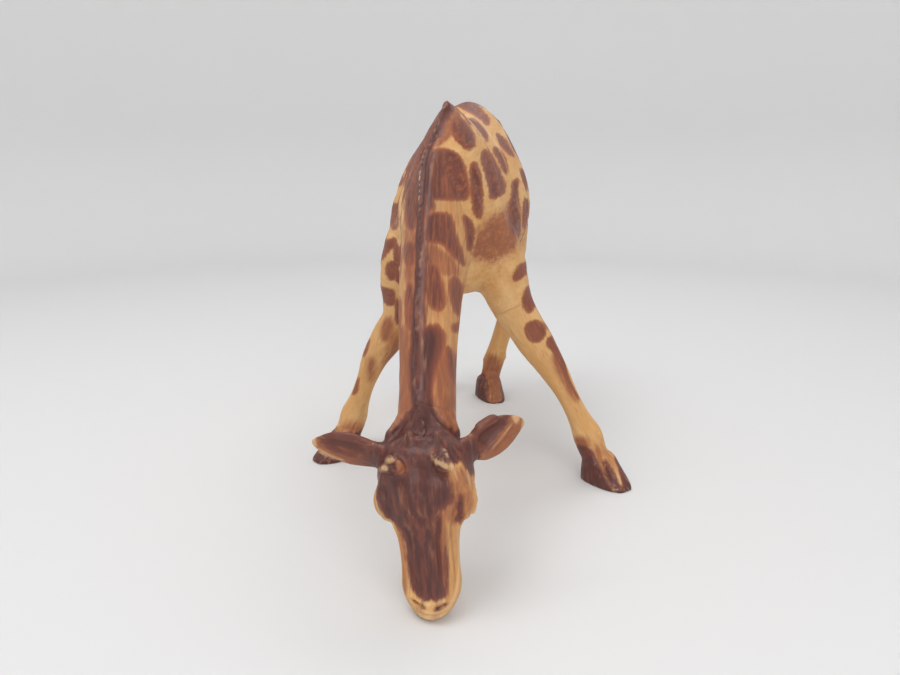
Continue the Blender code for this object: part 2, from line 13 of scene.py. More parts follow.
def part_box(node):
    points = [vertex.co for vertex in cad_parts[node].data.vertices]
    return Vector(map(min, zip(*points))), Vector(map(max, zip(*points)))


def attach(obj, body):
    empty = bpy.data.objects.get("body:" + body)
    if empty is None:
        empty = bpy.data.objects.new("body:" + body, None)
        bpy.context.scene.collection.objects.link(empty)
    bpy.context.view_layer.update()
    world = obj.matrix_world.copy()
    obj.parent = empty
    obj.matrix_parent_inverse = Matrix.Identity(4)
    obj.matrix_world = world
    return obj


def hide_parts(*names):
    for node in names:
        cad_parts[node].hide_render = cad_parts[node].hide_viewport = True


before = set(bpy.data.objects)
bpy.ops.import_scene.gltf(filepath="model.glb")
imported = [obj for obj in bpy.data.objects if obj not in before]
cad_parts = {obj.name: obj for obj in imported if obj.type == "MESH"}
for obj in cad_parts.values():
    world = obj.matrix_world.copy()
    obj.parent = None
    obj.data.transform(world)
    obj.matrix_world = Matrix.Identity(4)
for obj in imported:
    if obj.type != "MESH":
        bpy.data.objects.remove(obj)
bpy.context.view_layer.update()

MM = 0.001
NODES = sorted(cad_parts)
HEAD_NODES = ("head", "left_ear", "right_ear")
LEG_NODES = ("front_left_leg", "front_right_leg", "hind_left_leg", "hind_right_leg")

# Camera: in front of the figure, turned 7 degrees and tipped 14 degrees down
IMAGE_WIDTH, IMAGE_HEIGHT = 900, 675
FOCAL_PIXELS = 700.0
CAMERA_PLACE = Vector((18.1, -185.1, 85.0)) * MM
CAMERA_TIP = radians(14.0)
CAMERA_TURN = radians(7.0)
SENSOR_WIDTH = 36.0

# Modelling clay
BODY_GRAIN = 0.425 * MM        # voxel of the body's surface
HEAD_GRAIN = 0.24 * MM         # finer, for eyelids, nostrils and lips
GAP_FILL = 0.22 * MM           # swelling that closes the glue gaps between the mouldings
SOFTENING_ROUNDS = 110
HAIR_STRETCH = 6.0             # how much longer than wide a lock of moulded hair is
HAIR_WIDTH = 1.1 * MM
HAIR_DEPTH = 0.055 * MM

# How deep the moulded hair is, times HAIR_DEPTH
HAIR_SHARES = {"neck": 1.3, "head": 1.5, "left_ear": 1.1, "right_ear": 1.1}
PLAIN_HAIR = 0.7
TUFT_HAIR = 4.0
HOOF_HAIR = 0.5

# How widely the tool that smoothed each moulding reached, in mm
SOFTENING_MM = {"torso": 2.1, "neck": 1.7, "front_left_leg": 0.95, "front_right_leg": 0.95,
                "hind_left_leg": 0.95, "hind_right_leg": 0.95, "tail": 0.5, "head": 0.62,
                "left_ear": 0.4, "right_ear": 0.4}
HOOF_SOFTENING_MM = 0.4
KNOB_SOFTENING_MM = 1.25
HOOF_TOP = 7.4 * MM

# Head
LIPS = Vector((0.5, -67.6, 0.0)) * MM
HEAD_LENGTH = 36.0 * MM
HEAD_WIDTH = 17.4 * MM
HEAD_DEPTH = 15.6 * MM
HEAD_SLOPE = radians(77.0)
HEAD_ROLL = radians(5.0)
EYE_RADIUS = 1.8 * MM
EYE_SHARES = (0.38, 1.0, 0.05)
MUZZLE_PINCH = 0.42            # how much narrower the lips are than the CAD's
MUZZLE_SHARES = (0.80, 1.06)   # where along the head the pinch begins and is full
KNOB_PIXELS = ((390, 464), (440, 461))
KNOB_RADIUS = 3.2 * MM
KNOB_HEIGHT = 3.0 * MM
KNOB_WEAR = 0.55               # share of an ossicone's height that is worn away
KNOB_RIM = (2.2 * MM, 4.2 * MM)
EAR_ENDS = ((474, 446), (520, 420))
EAR_BROADER = 1.2
EAR_SHORTER = 0.94

# Mane and tail
MANE_LINE = ((447, 105), (439, 124), (432, 143), (425, 157), (422, 172), (421, 189), (421, 224),
             (420, 260), (418, 300), (417, 350), (417, 390), (420, 410), (424, 427))
TUFT_LENGTH = 2.2 * MM
TUFT_SPACING = 1.75 * MM
MANE_HALF_WIDTH = 1.75 * MM
TAIL_TUFT_TOP = 71.0 * MM

# Paint, as sRGB hex values
OCHRE = "D09C5E"
SAND = "DDB37A"
RUSSET = "9C5633"
CHESTNUT = "733A2A"
UMBER = "4E241E"
# SLATE is the grey of painted sheen on the darkest paint
SLATE = "5A3530"
# CREAM is the pale bare vinyl, and also painted highlights on the mane and the ridges
CREAM = "E2B888"
EYE_BLACK = "120D0C"
FLOOR_WHITE = "DCDCDC"


# Outlines of the painted patches in the photograph's pixels

NECK_PATCHES = (
    ((454, 116), (463, 118), (472, 124), (477, 132), (476, 146), (468, 150), (460, 145), (455, 138),
     (450, 128)),
    ((444, 104), (448, 112), (444, 124), (438, 138), (431, 152), (426, 170), (424, 200), (414, 192),
     (411, 172), (413, 148), (422, 130), (434, 110)),
    ((417, 160), (424, 152), (432, 149), (444, 149), (454, 151), (462, 159), (466, 172), (469, 187),
     (468, 200), (456, 200), (443, 199), (417, 200)),
    ((416, 213), (436, 213), (447, 213), (451, 216), (454, 225), (457, 239), (462, 251), (466, 268),
     (458, 261), (448, 250), (441, 243), (430, 242), (416, 242)),
    ((462, 215), (468, 217), (473, 224), (474, 234), (473, 244), (469, 252), (467, 243), (466, 229)),
    ((429, 265), (437, 265), (441, 277), (444, 293), (445, 310), (429, 309), (428, 284)),
    ((452, 276), (458, 278), (463, 287), (462, 301), (459, 315), (455, 313), (451, 301), (450, 286)),
    ((419, 331), (431, 324), (440, 326), (445, 334), (443, 350), (439, 364), (434, 378), (431, 392),
     (431, 410), (420, 412)),
    ((446, 347), (450, 347), (455, 358), (457, 372), (457, 387), (451, 381), (447, 366)),
    ((453, 324), (458, 325), (457, 332), (453, 331)),
    ((406, 166), (414, 163), (417, 172), (417, 228), (410, 232), (405, 222)),
    ((403, 243), (414, 241), (416, 252), (415, 266), (405, 267)),
    ((405, 284), (413, 282), (415, 300), (414, 328), (406, 330)),
)
FLANK_PATCHES = (
    ((456, 106), (463, 100), (474, 101), (481, 109), (490, 119), (488, 126), (481, 119), (470, 112)),
    ((470, 117), (481, 124), (487, 132), (488, 143), (482, 134), (475, 124)),
    ((496, 132), (505, 139), (512, 151), (515, 158), (506, 151), (498, 142)),
    ((494, 146), (501, 151), (507, 162), (508, 172), (505, 174), (500, 162), (494, 153)),
    ((483, 148), (491, 155), (498, 167), (505, 184), (505, 192), (497, 198), (490, 199), (489, 187),
     (486, 176), (481, 160)),
    ((470, 162), (477, 163), (481, 178), (483, 197), (482, 218), (475, 217), (471, 197)),
    ((512, 181), (519, 179), (517, 191), (519, 204), (521, 222), (518, 237), (511, 236), (508, 222),
     (508, 208), (512, 196)),
    ((524, 198), (530, 203), (528, 220), (524, 230), (523, 218)),
    ((520, 167), (527, 172), (531, 192), (526, 188)),
    ((397, 165), (403, 163), (402, 185), (397, 185)),
)
SHOULDER_PATCHES = (
    ((391, 205), (397, 203), (398, 228), (391, 230)),
    ((382, 237), (388, 241), (396, 237), (396, 247), (391, 248), (387, 253), (382, 261), (380, 250)),
    ((387, 264), (392, 261), (397, 263), (396, 279), (389, 280), (386, 273)),
    ((395, 243), (399, 246), (399, 276), (396, 283), (394, 262)),
    ((380, 286), (388, 289), (395, 291), (395, 305), (388, 305), (383, 300)),
    ((396, 295), (401, 299), (400, 324), (396, 327)),
    ((356, 344), (366, 334), (370, 340), (365, 356), (357, 358)),
    ((351, 377), (358, 374), (359, 384), (356, 394), (350, 394)),
    ((524, 262), (532, 265), (526, 274), (516, 282), (512, 277), (518, 267)),
    ((530, 282), (537, 301), (530, 314), (524, 308), (522, 298)),
    ((526, 323), (538, 320), (546, 327), (545, 336), (538, 343), (529, 340), (525, 332)),
    ((549, 337), (555, 337), (563, 350), (570, 366), (578, 383), (585, 399), (579, 400), (571, 388),
     (564, 374), (557, 361), (553, 351), (546, 344)),
)

# Soft washes of thin reddish paint: the outline, how far its edge fades in pixels, and its strength
RUSSET_WASHES = (
    (((432, 112), (446, 101), (458, 106), (462, 118), (456, 126), (452, 136), (446, 142),
      (434, 150), (430, 132)), 3, 1.0),
    (((474, 238), (479, 227), (493, 215), (506, 207), (514, 199), (521, 220), (521, 238), (517, 251),
      (506, 258), (494, 264), (484, 262), (472, 259), (469, 250)), 10, 1.0),
    (((496, 222), (512, 204), (519, 222), (518, 240), (510, 250), (496, 250)), 9, 1.0),
    (((384, 317), (394, 316), (396, 336), (384, 345), (378, 334)), 5, 1.0),
    (((403, 226), (418, 226), (418, 248), (403, 248)), 3, 0.85),
    (((403, 262), (418, 262), (418, 290), (403, 290)), 4, 1.0),
    (((404, 160), (416, 150), (418, 170), (404, 172)), 3, 0.8),
    (((366, 358), (376, 356), (376, 378), (367, 384)), 7, 1.0),
    (((556, 352), (567, 372), (580, 402), (572, 402), (556, 372), (550, 356)), 5, 1.0),
    (((570, 436), (590, 436), (592, 450), (574, 450)), 6, 1.0),
    (((482, 353), (504, 356), (510, 408), (474, 408)), 6, 1.0),
    (((338, 420), (366, 420), (366, 438), (338, 438)), 9, 0.85),
    (((434, 352), (458, 350), (464, 390), (468, 445), (430, 440), (430, 380)), 9, 1.0),
    (((388, 326), (416, 322), (420, 445), (370, 445)), 9, 1.0),
    (((454, 497), (466, 497), (466, 526), (456, 526)), 4, 1.0),
    (((452, 466), (470, 464), (480, 500), (470, 520), (448, 530), (436, 512)), 8, 0.8),
    (((434, 508), (446, 510), (448, 540), (451, 596), (446, 602), (436, 560)), 5, 1.0),
    (((444, 510), (464, 516), (464, 560), (460, 600), (448, 606), (446, 560)), 8, 0.35),
    (((396, 520), (406, 536), (410, 590), (404, 598), (398, 560)), 5, 0.95),
    (((416, 194), (437, 198), (437, 216), (416, 216)), 4, 1.0),
    (((421, 268), (428, 268), (429, 330), (421, 330)), 3, 1.0),
    (((418, 238), (440, 244), (460, 262), (462, 280), (440, 276), (418, 272)), 6, 0.9),
    (((392, 457), (408, 456), (410, 476), (396, 478)), 4, 1.0),
    (((588, 440), (606, 446), (618, 458), (622, 484), (606, 488), (590, 452)), 5, 0.6),
)

# Dark paint, read the same way
FACE_DARK = ((376, 466), (373, 486), (374, 499), (384, 516), (398, 526), (404, 538), (406, 553),
             (407, 568), (409, 582), (416, 597), (425, 601), (432, 600), (438, 602), (446, 596),
             (445, 586), (442, 568), (439, 547), (436, 538), (433, 526), (434, 516), (441, 510),
             (450, 503), (453, 496), (450, 484), (446, 473), (447, 462), (454, 462), (462, 462),
             (470, 452), (464, 432), (452, 432), (444, 424), (434, 408), (425, 402), (412, 404),
             (400, 424), (384, 435), (372, 440))
NOSTRILS_DARK = (
    ((412, 598), (418, 601), (425, 608), (421, 611), (414, 605)),
    ((433, 610), (440, 603), (448, 602), (446, 608), (438, 613)),
    ((433, 617), (439, 617), (439, 621), (433, 621)),
)
FACE_STREAKS = (
    ((443, 545), (447, 549), (449, 575), (447, 598), (444, 598), (446, 572)),
    ((458, 492), (462, 495), (464, 508), (460, 522), (457, 520), (459, 508)),
    ((437, 514), (440, 512), (441, 532), (438, 541), (436, 530)),
)
HOOF_DARK = (
    ((568, 446), (578, 444), (589, 448), (596, 457), (601, 469), (608, 480), (611, 494), (590, 492),
     (572, 480)),
    ((603, 460), (607, 460), (613, 471), (620, 484), (621, 494), (612, 494), (609, 480)),
    ((613, 456), (620, 458), (634, 480), (634, 494), (623, 494), (622, 478)),
    ((468, 376), (480, 371), (487, 378), (488, 390), (487, 406), (466, 402)),
    ((500, 378), (508, 380), (512, 404), (503, 406), (502, 390)),
)
# Painted shade beside the mane's ridge, laid in dark paint
MANE_SIDE_SHADE = (
    ((424, 160), (430, 148), (437, 137), (440, 142), (434, 160), (433, 180), (433, 200), (430, 214),
     (423, 214)),
    ((418, 334), (430, 328), (437, 330), (439, 340), (437, 352), (433, 366), (430, 380), (430, 396),
     (434, 408), (426, 420), (418, 414)),
)

EARS_DARK = (
    ((455, 430), (470, 423), (480, 418), (493, 415), (506, 410), (510, 417), (502, 431), (492, 445),
     (482, 455), (468, 463), (455, 460)),
    ((322, 433), (331, 431), (350, 433), (361, 436), (380, 444), (380, 468), (368, 465), (352, 458),
     (340, 454), (328, 449), (320, 441)),
)

# Places that the brush left bare: on the face, and thin ochre lines between patches
FACE_GAPS = (
    ((396, 457), (404, 459), (408, 468), (404, 476), (397, 474), (394, 466)),
)
PATCH_GAPS = (
    ((457, 113), (467, 117), (475, 125), (479, 137), (479, 149), (476, 149), (476, 138), (472, 128),
     (465, 120)),
)

# Pale spots: paint gone from the high places, down to the pale vinyl, and painted highlights along the
# ridges between the flank's patches
PALE_SPOTS = (
    ((383, 457), (390, 455), (396, 459), (393, 465), (385, 465)),
    ((377, 466), (384, 462), (390, 468), (387, 474), (379, 473)),
    ((429, 453), (435, 453), (437, 458), (445, 461), (450, 467), (446, 471), (437, 467), (431, 463)),
    ((441, 448), (447, 448), (452, 458), (446, 460)),
    ((449, 457), (453, 462), (458, 474), (460, 484), (456, 482), (451, 471)),
    ((465, 470), (468, 468), (472, 480), (473, 492), (470, 492), (467, 482)),
    ((456, 530), (460, 530), (462, 562), (460, 590), (455, 606), (446, 613), (434, 617),
     (420, 612), (408, 602), (402, 588), (406, 592), (418, 606), (430, 612), (442, 609), (451, 600),
     (456, 580), (457, 556)),
    ((422, 602), (430, 600), (436, 604), (430, 609), (424, 607)),
    # These three are painted highlights along the ridges between the flank's patches
    ((463, 115), (470, 118), (477, 128), (480, 139), (479, 148), (477, 148), (478, 139), (474, 128),
     (468, 120)),
    ((470, 112), (485, 124), (496, 141), (506, 158), (509, 172), (507, 172), (503, 158), (493, 142),
     (482, 127)),
    ((516, 199), (518, 200), (522, 214), (522, 230), (520, 230), (520, 215)),
    ((309, 435), (317, 436), (318, 446), (311, 445)),
    ((312, 442), (320, 447), (332, 454), (347, 460), (346, 464), (330, 460), (316, 452)),
    ((509, 408), (522, 412), (522, 421), (515, 427), (510, 418)),
    ((511, 421), (516, 422), (504, 438), (492, 452), (488, 451), (498, 439)),
    ((612, 462), (615, 464), (623, 482), (622, 487), (618, 483)),
    ((612, 488), (622, 488), (622, 491), (612, 491)),
    ((489, 384), (491, 384), (492, 402), (489, 402)),
)

# Sculpted marks in the photograph's pixels: path, width and height in mm
FRONT_MARKS = (
    (((400, 188), (396, 210), (391, 232), (387, 255), (385, 280), (386, 302)), 6.0, 1.1),
    (((466, 433), (478, 428), (490, 422), (500, 418)), 2.0, 0.6),
    (((516, 425), (505, 441), (493, 453)), 1.0, -0.45),
    (((342, 408), (338, 419), (339, 429)), 2.2, 1.1),
    (((366, 402), (366, 424)), 2.6, -0.7),
    (((503, 349), (504, 360)), 2.0, 0.7),
    (((485, 352), (484, 362)), 1.8, 0.45),
    (((482, 370), (500, 371)), 1.4, -0.35),
    (((386, 474), (380, 488), (379, 504)), 1.7, 0.55),
    (((447, 462), (456, 474), (462, 488), (471, 500)), 1.7, 0.60),
    (((441, 471), (450, 486), (457, 498)), 1.0, 0.30),
    (((404, 478), (410, 500), (414, 520)), 4.0, 0.40),
    (((432, 478), (428, 500), (424, 520)), 4.0, 0.40),
    (((418, 462), (419, 480), (419, 500)), 2.2, -0.50),
    (((391, 518), (400, 536), (404, 560), (406, 584)), 1.2, 0.50),
    (((396, 520), (409, 540), (412, 570), (418, 590)), 1.1, -0.34),
    (((456, 500), (447, 520), (444, 545), (446, 572), (447, 590)), 1.2, 0.48),
    (((440, 514), (438, 535), (440, 560), (441, 585)), 1.0, -0.36),
    (((452, 512), (453, 540), (456, 570), (455, 592)), 0.9, -0.30),
    (((462, 500), (457, 512), (459, 524)), 1.6, -0.50),
    (((385, 506), (390, 516), (395, 522)), 1.2, -0.35),
    (((412, 600), (417, 604), (423, 608)), 0.75, -0.65),
    (((447, 604), (442, 607), (436, 611)), 0.75, -0.65),
    (((409, 596), (416, 600), (424, 604)), 0.9, 0.35),
    (((450, 600), (443, 603), (435, 607)), 0.9, 0.35),
    (((407, 602), (416, 612), (431, 617), (445, 613), (453, 602)), 0.7, -0.28),
    (((425, 588), (427, 602), (430, 614)), 1.2, -0.20),
    (((432, 408), (442, 423), (455, 433)), 0.9, -0.42),
    (((413, 410), (404, 424), (390, 437)), 0.9, -0.36),
    (((424, 416), (423, 430), (422, 440)), 3.0, -0.9),
    (((387, 459), (392, 459)), 1.1, 0.60),
    (((381, 467), (386, 468)), 1.1, 0.60),
    (((396, 461), (401, 468), (404, 474)), 1.3, 0.45),
    (((432, 454), (432, 459)), 1.0, 0.55),
    (((437, 461), (444, 463)), 1.3, 0.65),
    (((444, 451), (448, 457)), 1.0, 0.50),
    (((388, 464), (395, 466), (392, 472)), 1.0, -0.45),
    (((478, 444), (494, 430), (508, 420)), 2.6, -0.85),
    (((512, 419), (501, 432), (490, 446), (481, 456)), 0.9, 0.55),
    (((480, 421), (494, 416), (508, 410)), 0.9, 0.30),
    (((368, 453), (346, 447), (324, 442)), 2.0, -0.70),
    (((311, 441), (320, 449), (334, 456), (350, 463)), 0.9, 0.30),
    (((314, 435), (331, 434), (350, 435), (364, 440)), 0.9, 0.28),
    (((472, 218), (476, 231), (473, 250), (468, 262)), 1.6, 0.35),
    (((478, 224), (481, 240), (477, 258)), 2.2, -0.45),
    (((514, 204), (518, 218), (522, 232)), 2.0, 0.40),
    (((524, 240), (528, 262), (540, 296)), 2.4, 0.35),
    (((494, 268), (508, 280), (520, 300)), 2.2, -0.30),
    (((416, 190), (416, 240), (414, 300), (412, 350)), 0.7, -0.16),
    (((434, 300), (440, 340), (444, 380)), 2.0, -0.22),
    (((560, 356), (568, 372), (575, 390)), 1.4, 0.22),
    (((549, 362), (562, 388), (572, 410)), 1.2, -0.20),
    (((598, 432), (602, 440)), 1.6, 0.45),
    (((596, 448), (604, 464), (611, 484)), 1.0, -0.95),
    (((600, 446), (610, 462), (620, 484)), 0.8, 0.30),
    (((486, 380), (500, 380)), 0.7, 0.25),
    (((490, 382), (490, 392), (491, 404)), 1.0, -0.80),
)

# Sculpted marks on both flanks: path as (y, z) in mm, then width and height in mm
SIDE_MARKS = (
    (((2, 93), (-2, 82), (-7, 71)), 3.6, 0.55),
    (((-14, 90), (-14, 78), (-10, 66)), 2.4, -0.40),
    (((6, 74), (3, 64), (0, 57)), 5.0, 0.60),
    (((13, 90), (12, 78), (10, 64)), 3.0, -0.45),
    (((44, 88), (42, 80), (41, 71)), 2.6, 0.45),
    (((37, 90), (37, 82), (37, 74)), 4.0, -0.60),
    (((58, 84), (57, 74), (56, 64)), 2.2, -0.40),
    (((50, 82), (51, 70), (55, 60)), 3.6, 0.35),
    (((45, 98), (48, 96)), 3.6, 0.45),
    (((62, 50), (67, 40), (66, 28)), 1.1, -0.28),
    (((56, 46), (61, 36), (62, 22)), 1.3, 0.22),
    (((-6, 46), (-3, 34), (-2, 20)), 1.0, -0.24),
    (((-46, 42), (-34, 56), (-22, 68)), 2.6, -0.40),
    (((-44, 36), (-32, 47), (-20, 56)), 2.2, 0.35),
)
RIBS = 6
RIB_SPACING = 4.4
FIRST_RIB = ((17, 88), (16, 76), (14, 66))
RIB_WIDTH, RIB_HEIGHT = 1.7, 0.20

# Eyelids and the folds round them: reach and lift as shares of the head, up or down, width and
# height in mm
EYELIDS = ((0.085, 0.115, 1, 0.55, 0.34), (0.085, 0.10, -1, 0.5, 0.28),
           (0.12, 0.20, 1, 0.6, -0.22), (0.11, 0.17, -1, 0.6, -0.16))

# Giraffe pattern where the photograph doesn't reach: spacing of the patches in mm
TORSO_CELL, NECK_CELL, LEG_CELL = 13.5, 10.0, 7.5
CELL_GAP = 1.5
NECK_TINT = 0.42               # thin reddish paint all over the neck
PATCH_SPREAD = 0.3             # the brush went a little past the outlines read off the photograph
THIN_PATCH = 0.35              # greatest depth of the shoulder's patches, whose paint is thinner
CELL_WANDER = 1.1              # how far an edge strays from a straight line
CELL_WANDER_WIDTH = 5.0
CELL_CORNER = 1.6              # how widely the corners of a patch are rounded, in mm
SEED_TRIES = 9000
SEED_PACKING = 0.82            # least distance between seeds, as a share of the spacing
BLOCK = 20000                  # points worked on at a time

# Paint read off the photograph gives way where the surface faces less towards the camera than this
GRAZING = (0.03, 0.12)
HIDDEN_GAP = 0.6 * MM
BARE = -3.0                    # mm outside a painted edge, where none of its paint shows


def linear(hex_colour):
    """An sRGB hex colour as linear red, green, blue and alpha."""
    channels = [int(hex_colour[k:k + 2], 16) / 255 for k in (0, 2, 4)]
    return tuple(c / 12.92 if c <= 0.04045 else ((c + 0.055) / 1.055) ** 2.4
                 for c in channels) + (1.0,)


def smoothstep(low, high, values):
    t = np.clip((values - low) / (high - low), 0.0, 1.0)
    return t * t * (3 - 2 * t)


def smooth_path(points, steps=6):
    """A curve through given points."""
    points = np.array([tuple(p) for p in points], dtype=float)
    ends = np.concatenate([[2 * points[0] - points[1]], points, [2 * points[-1] - points[-2]]])
    out = []
    for a, b, c, d in zip(ends, ends[1:], ends[2:], ends[3:]):
        for t in np.arange(steps) / steps:
            out.append(0.5 * (2 * b + (c - a) * t + (2 * a - 5 * b + 4 * c - d) * t * t
                              + (3 * b - a - 3 * c + d) * t ** 3))
    return np.array(out + [points[-1]])


def to_segment(places, start, end):
    """How far along a segment each place falls, from 0 to 1, and how far from it."""
    span = end - start
    t = np.clip(((places - start) @ span) / max(span @ span, 1e-12), 0.0, 1.0)
    return t, np.linalg.norm(places - start - t[:, None] * span, axis=1)


def path_distance(points, path):
    """Distance of each point from a path."""
    return np.min([to_segment(points, start, end)[1] for start, end in zip(path, path[1:])], axis=0)


def rounded(outline):
    """An outline with its corners cut twice, as a brush rounds them."""
    corners = np.array(outline, dtype=float)
    for _ in range(2):
        after = np.roll(corners, -1, axis=0)
        corners = np.stack([0.75 * corners + 0.25 * after, 0.25 * corners + 0.75 * after], axis=1)
        corners = corners.reshape(-1, 2)
    return corners


def outline_depth(pixels, outline):
    """How deep each pixel lies inside an outline, negative outside, to 12 pixels."""
    limit = 12.0
    corners = rounded(outline)
    out = np.full(len(pixels), -limit)
    low, high = corners.min(axis=0) - limit, corners.max(axis=0) + limit
    near = np.nonzero(((pixels > low) & (pixels < high)).all(axis=1))[0]
    places = pixels[near]
    best = np.full(len(near), np.inf)
    inside = np.zeros(len(near), dtype=bool)
    for start, end in zip(corners, np.roll(corners, -1, axis=0)):
        best = np.minimum(best, to_segment(places, start, end)[1])
        crosses = (start[1] > places[:, 1]) != (end[1] > places[:, 1])
        run, drop = end - start
        inside ^= crosses & (places[:, 0] < start[0] + run * (places[:, 1] - start[1]) / (drop or 1.0))
    out[near] = np.clip(np.where(inside, best, -best), -limit, limit)
    return out


LATTICE = 64


def soft_noise(places, seed):
    """Smooth random values from -1 to 1, over places one unit apart."""
    lattice = np.random.default_rng(seed).uniform(-1, 1, (LATTICE,) * 3)
    cell = np.floor(places).astype(int)
    t = places - cell
    t = t * t * (3 - 2 * t)
    total = np.zeros(len(places))
    for corner in product((0, 1), repeat=3):
        weight = np.prod(np.where(corner, t, 1 - t), axis=1)
        i, j, k = ((cell + np.array(corner)) % LATTICE).T
        total += weight * lattice[i, j, k]
    return total


def camera_axes():
    """Unit vectors to the right, up and ahead of the camera."""
    right = np.array((cos(CAMERA_TURN), sin(CAMERA_TURN), 0.0))
    ahead = np.array((-sin(CAMERA_TURN) * cos(CAMERA_TIP),
                      cos(CAMERA_TURN) * cos(CAMERA_TIP), -sin(CAMERA_TIP)))
    return right, np.cross(right, ahead), ahead


def to_pixels(points):
    """Where points fall in the photograph's frame, and their depth in metres."""
    right, up, ahead = camera_axes()
    rays = points - np.array(CAMERA_PLACE)
    depth = rays @ ahead
    across = IMAGE_WIDTH / 2 + FOCAL_PIXELS * (rays @ right) / depth
    down = IMAGE_HEIGHT / 2 - FOCAL_PIXELS * (rays @ up) / depth
    return np.stack([across, down], axis=1), depth


def pixel_ray(pixel):
    right, up, ahead = camera_axes()
    ray = (ahead + right * ((pixel[0] - IMAGE_WIDTH / 2) / FOCAL_PIXELS)
           - up * ((pixel[1] - IMAGE_HEIGHT / 2) / FOCAL_PIXELS))
    return Vector(ray).normalized()


def head_directions():
    """Unit vectors from the skull to the lips, to the figure's left, and out of the face."""
    slope = Vector((0, -cos(HEAD_SLOPE), -sin(HEAD_SLOPE)))
    axis = Matrix.Rotation(-HEAD_ROLL, 3, "Y") @ slope
    side = axis.cross(Vector((0, -1, 0))).normalized()
    side = side if side.x > 0 else -side
    face = axis.cross(side).normalized()
    return axis, side, face if face.y < 0 else -face


def head_point(along_share, across_share, rise_share):
    """A place in the head, from shares of its length, half width and depth."""
    axis, side, face = head_directions()
    return (LIPS + axis * (HEAD_LENGTH * (along_share - 1)) + side * (HEAD_WIDTH * 0.5 * across_share)
            + face * (HEAD_DEPTH * rise_share))


def head_shares(points):
    """The shares of the head's length, half width and depth at each point."""
    axis, side, face = [np.array(v) for v in head_directions()]
    rays = points - np.array(LIPS)
    return (rays @ axis / HEAD_LENGTH + 1, rays @ side / (HEAD_WIDTH * 0.5), rays @ face / HEAD_DEPTH)


def read_all(items, field, width=1, kind=np.float32):
    """One field of all the vertices, edges, faces or corners of a mesh, as an array."""
    out = np.empty(len(items) * width, dtype=kind)
    items.foreach_get(field, out)
    return out.reshape(-1, width) if width > 1 else out


class Clay:
    """A closed surface held as arrays, so that it can be shaped like modelling clay."""

    def __init__(self, mesh, grain):
        self.mesh = mesh
        self.grain = grain
        self.points = read_all(mesh.vertices, "co", 3).astype(np.float64)
        self.edges = read_all(mesh.edges, "vertices", 2, np.int32)
        self.faces = np.array([tuple(f.vertices) for f in mesh.polygons])
        self.degree = np.bincount(self.edges.ravel(), minlength=len(self.points))
        self.owners = owners_of(self.points)

    def owned_by(self, *names):
        return np.isin(self.owners, [NODES.index(name) for name in names])

    def neighbour_mean(self, values):
        first, second = self.edges[:, 0], self.edges[:, 1]
        count = len(self.points)
        columns = values.reshape(count, -1)
        out = np.empty_like(columns)
        for k in range(columns.shape[1]):
            total = np.bincount(first, weights=columns[second, k], minlength=count)
            total += np.bincount(second, weights=columns[first, k], minlength=count)
            out[:, k] = total / self.degree
        return out.reshape(values.shape)

    def blurred(self, values, reach):
        """Values averaged over the surface to about a reach in metres."""
        for _ in range(self.rounds_for(reach)):
            values = 0.5 * (values + self.neighbour_mean(values))
        return values

    def rounds_for(self, reach):
        return max(1, round(4 * (reach / self.grain) ** 2))

    def normals(self):
        self.mesh.vertices.foreach_set("co", self.points.astype(np.float32).ravel())
        self.mesh.update()
        return read_all(self.mesh.vertices, "normal", 3).astype(np.float64)

    def relax(self, reach):
        """Smooths the surface over a reach in metres, and gives back the girth that it loses."""
        before = self.points.copy()
        share = np.clip(4 * (reach / self.grain) ** 2 / SOFTENING_ROUNDS, 0.0, 1.0)
        weight = (0.5 * share)[:, None]
        for _ in range(SOFTENING_ROUNDS):
            self.points += weight * (self.neighbour_mean(self.points) - self.points)
        normals = self.normals()
        loss = ((before - self.points) * normals).sum(axis=1)
        for _ in range(SOFTENING_ROUNDS):
            loss += weight[:, 0] * (self.neighbour_mean(loss) - loss)
        self.points += normals * loss[:, None]

    def hollow(self, reach):
        """How far each point lies below its surroundings, in mm; ridges are negative."""
        return ((self.blurred(self.points, reach) - self.points) * self.normals()).sum(axis=1) / MM

    def tree(self):
        return BVHTree.FromPolygons(self.points.tolist(), self.faces.tolist())

    def stroke(self, path, width, height, normals):
        """A soft ridge, or a groove where height is negative, along a path on the surface."""
        low, high = path.min(axis=0) - width, path.max(axis=0) + width
        near = np.nonzero(((self.points > low) & (self.points < high)).all(axis=1))[0]
        if not len(near):
            return
        best = np.full(len(near), np.inf)
        depth = np.zeros(len(near))
        reach = np.linspace(0, pi, len(path))
        taper = np.minimum(1.0, 0.25 + 1.5 * np.sin(reach))
        for k in range(len(path) - 1):
            t, gap = to_segment(self.points[near], path[k], path[k + 1])
            closer = gap < best
            best = np.where(closer, gap, best)
            depth = np.where(closer, taper[k] + (taper[k + 1] - taper[k]) * t, depth)
        bump = np.clip(1 - (best / width) ** 2, 0.0, 1.0) ** 2 * depth
        self.points[near] += normals[near] * (height * bump)[:, None]


def node_tree():
    """A tree over the frame's faces, and the index of the node that each face belongs to."""
    points, faces, owners = [], [], []
    for index, name in enumerate(NODES):
        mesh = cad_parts[name].data
        start = len(points)
        points.extend(tuple(v.co) for v in mesh.vertices)
        for face in mesh.polygons:
            faces.append(tuple(start + k for k in face.vertices))
            owners.append(index)
    return BVHTree.FromPolygons(points, faces), owners


NODE_TREE, FACE_OWNER = node_tree()


def owners_of(points):
    """The index in NODES of the moulding nearest to each point."""
    return np.array([FACE_OWNER[NODE_TREE.find_nearest(Vector(p))[2]] for p in points])


def mesh_of(bm, name):
    """A mesh made of a bmesh, which is then freed."""
    mesh = bpy.data.meshes.new(name)
    bm.to_mesh(mesh)
    bm.free()
    return mesh


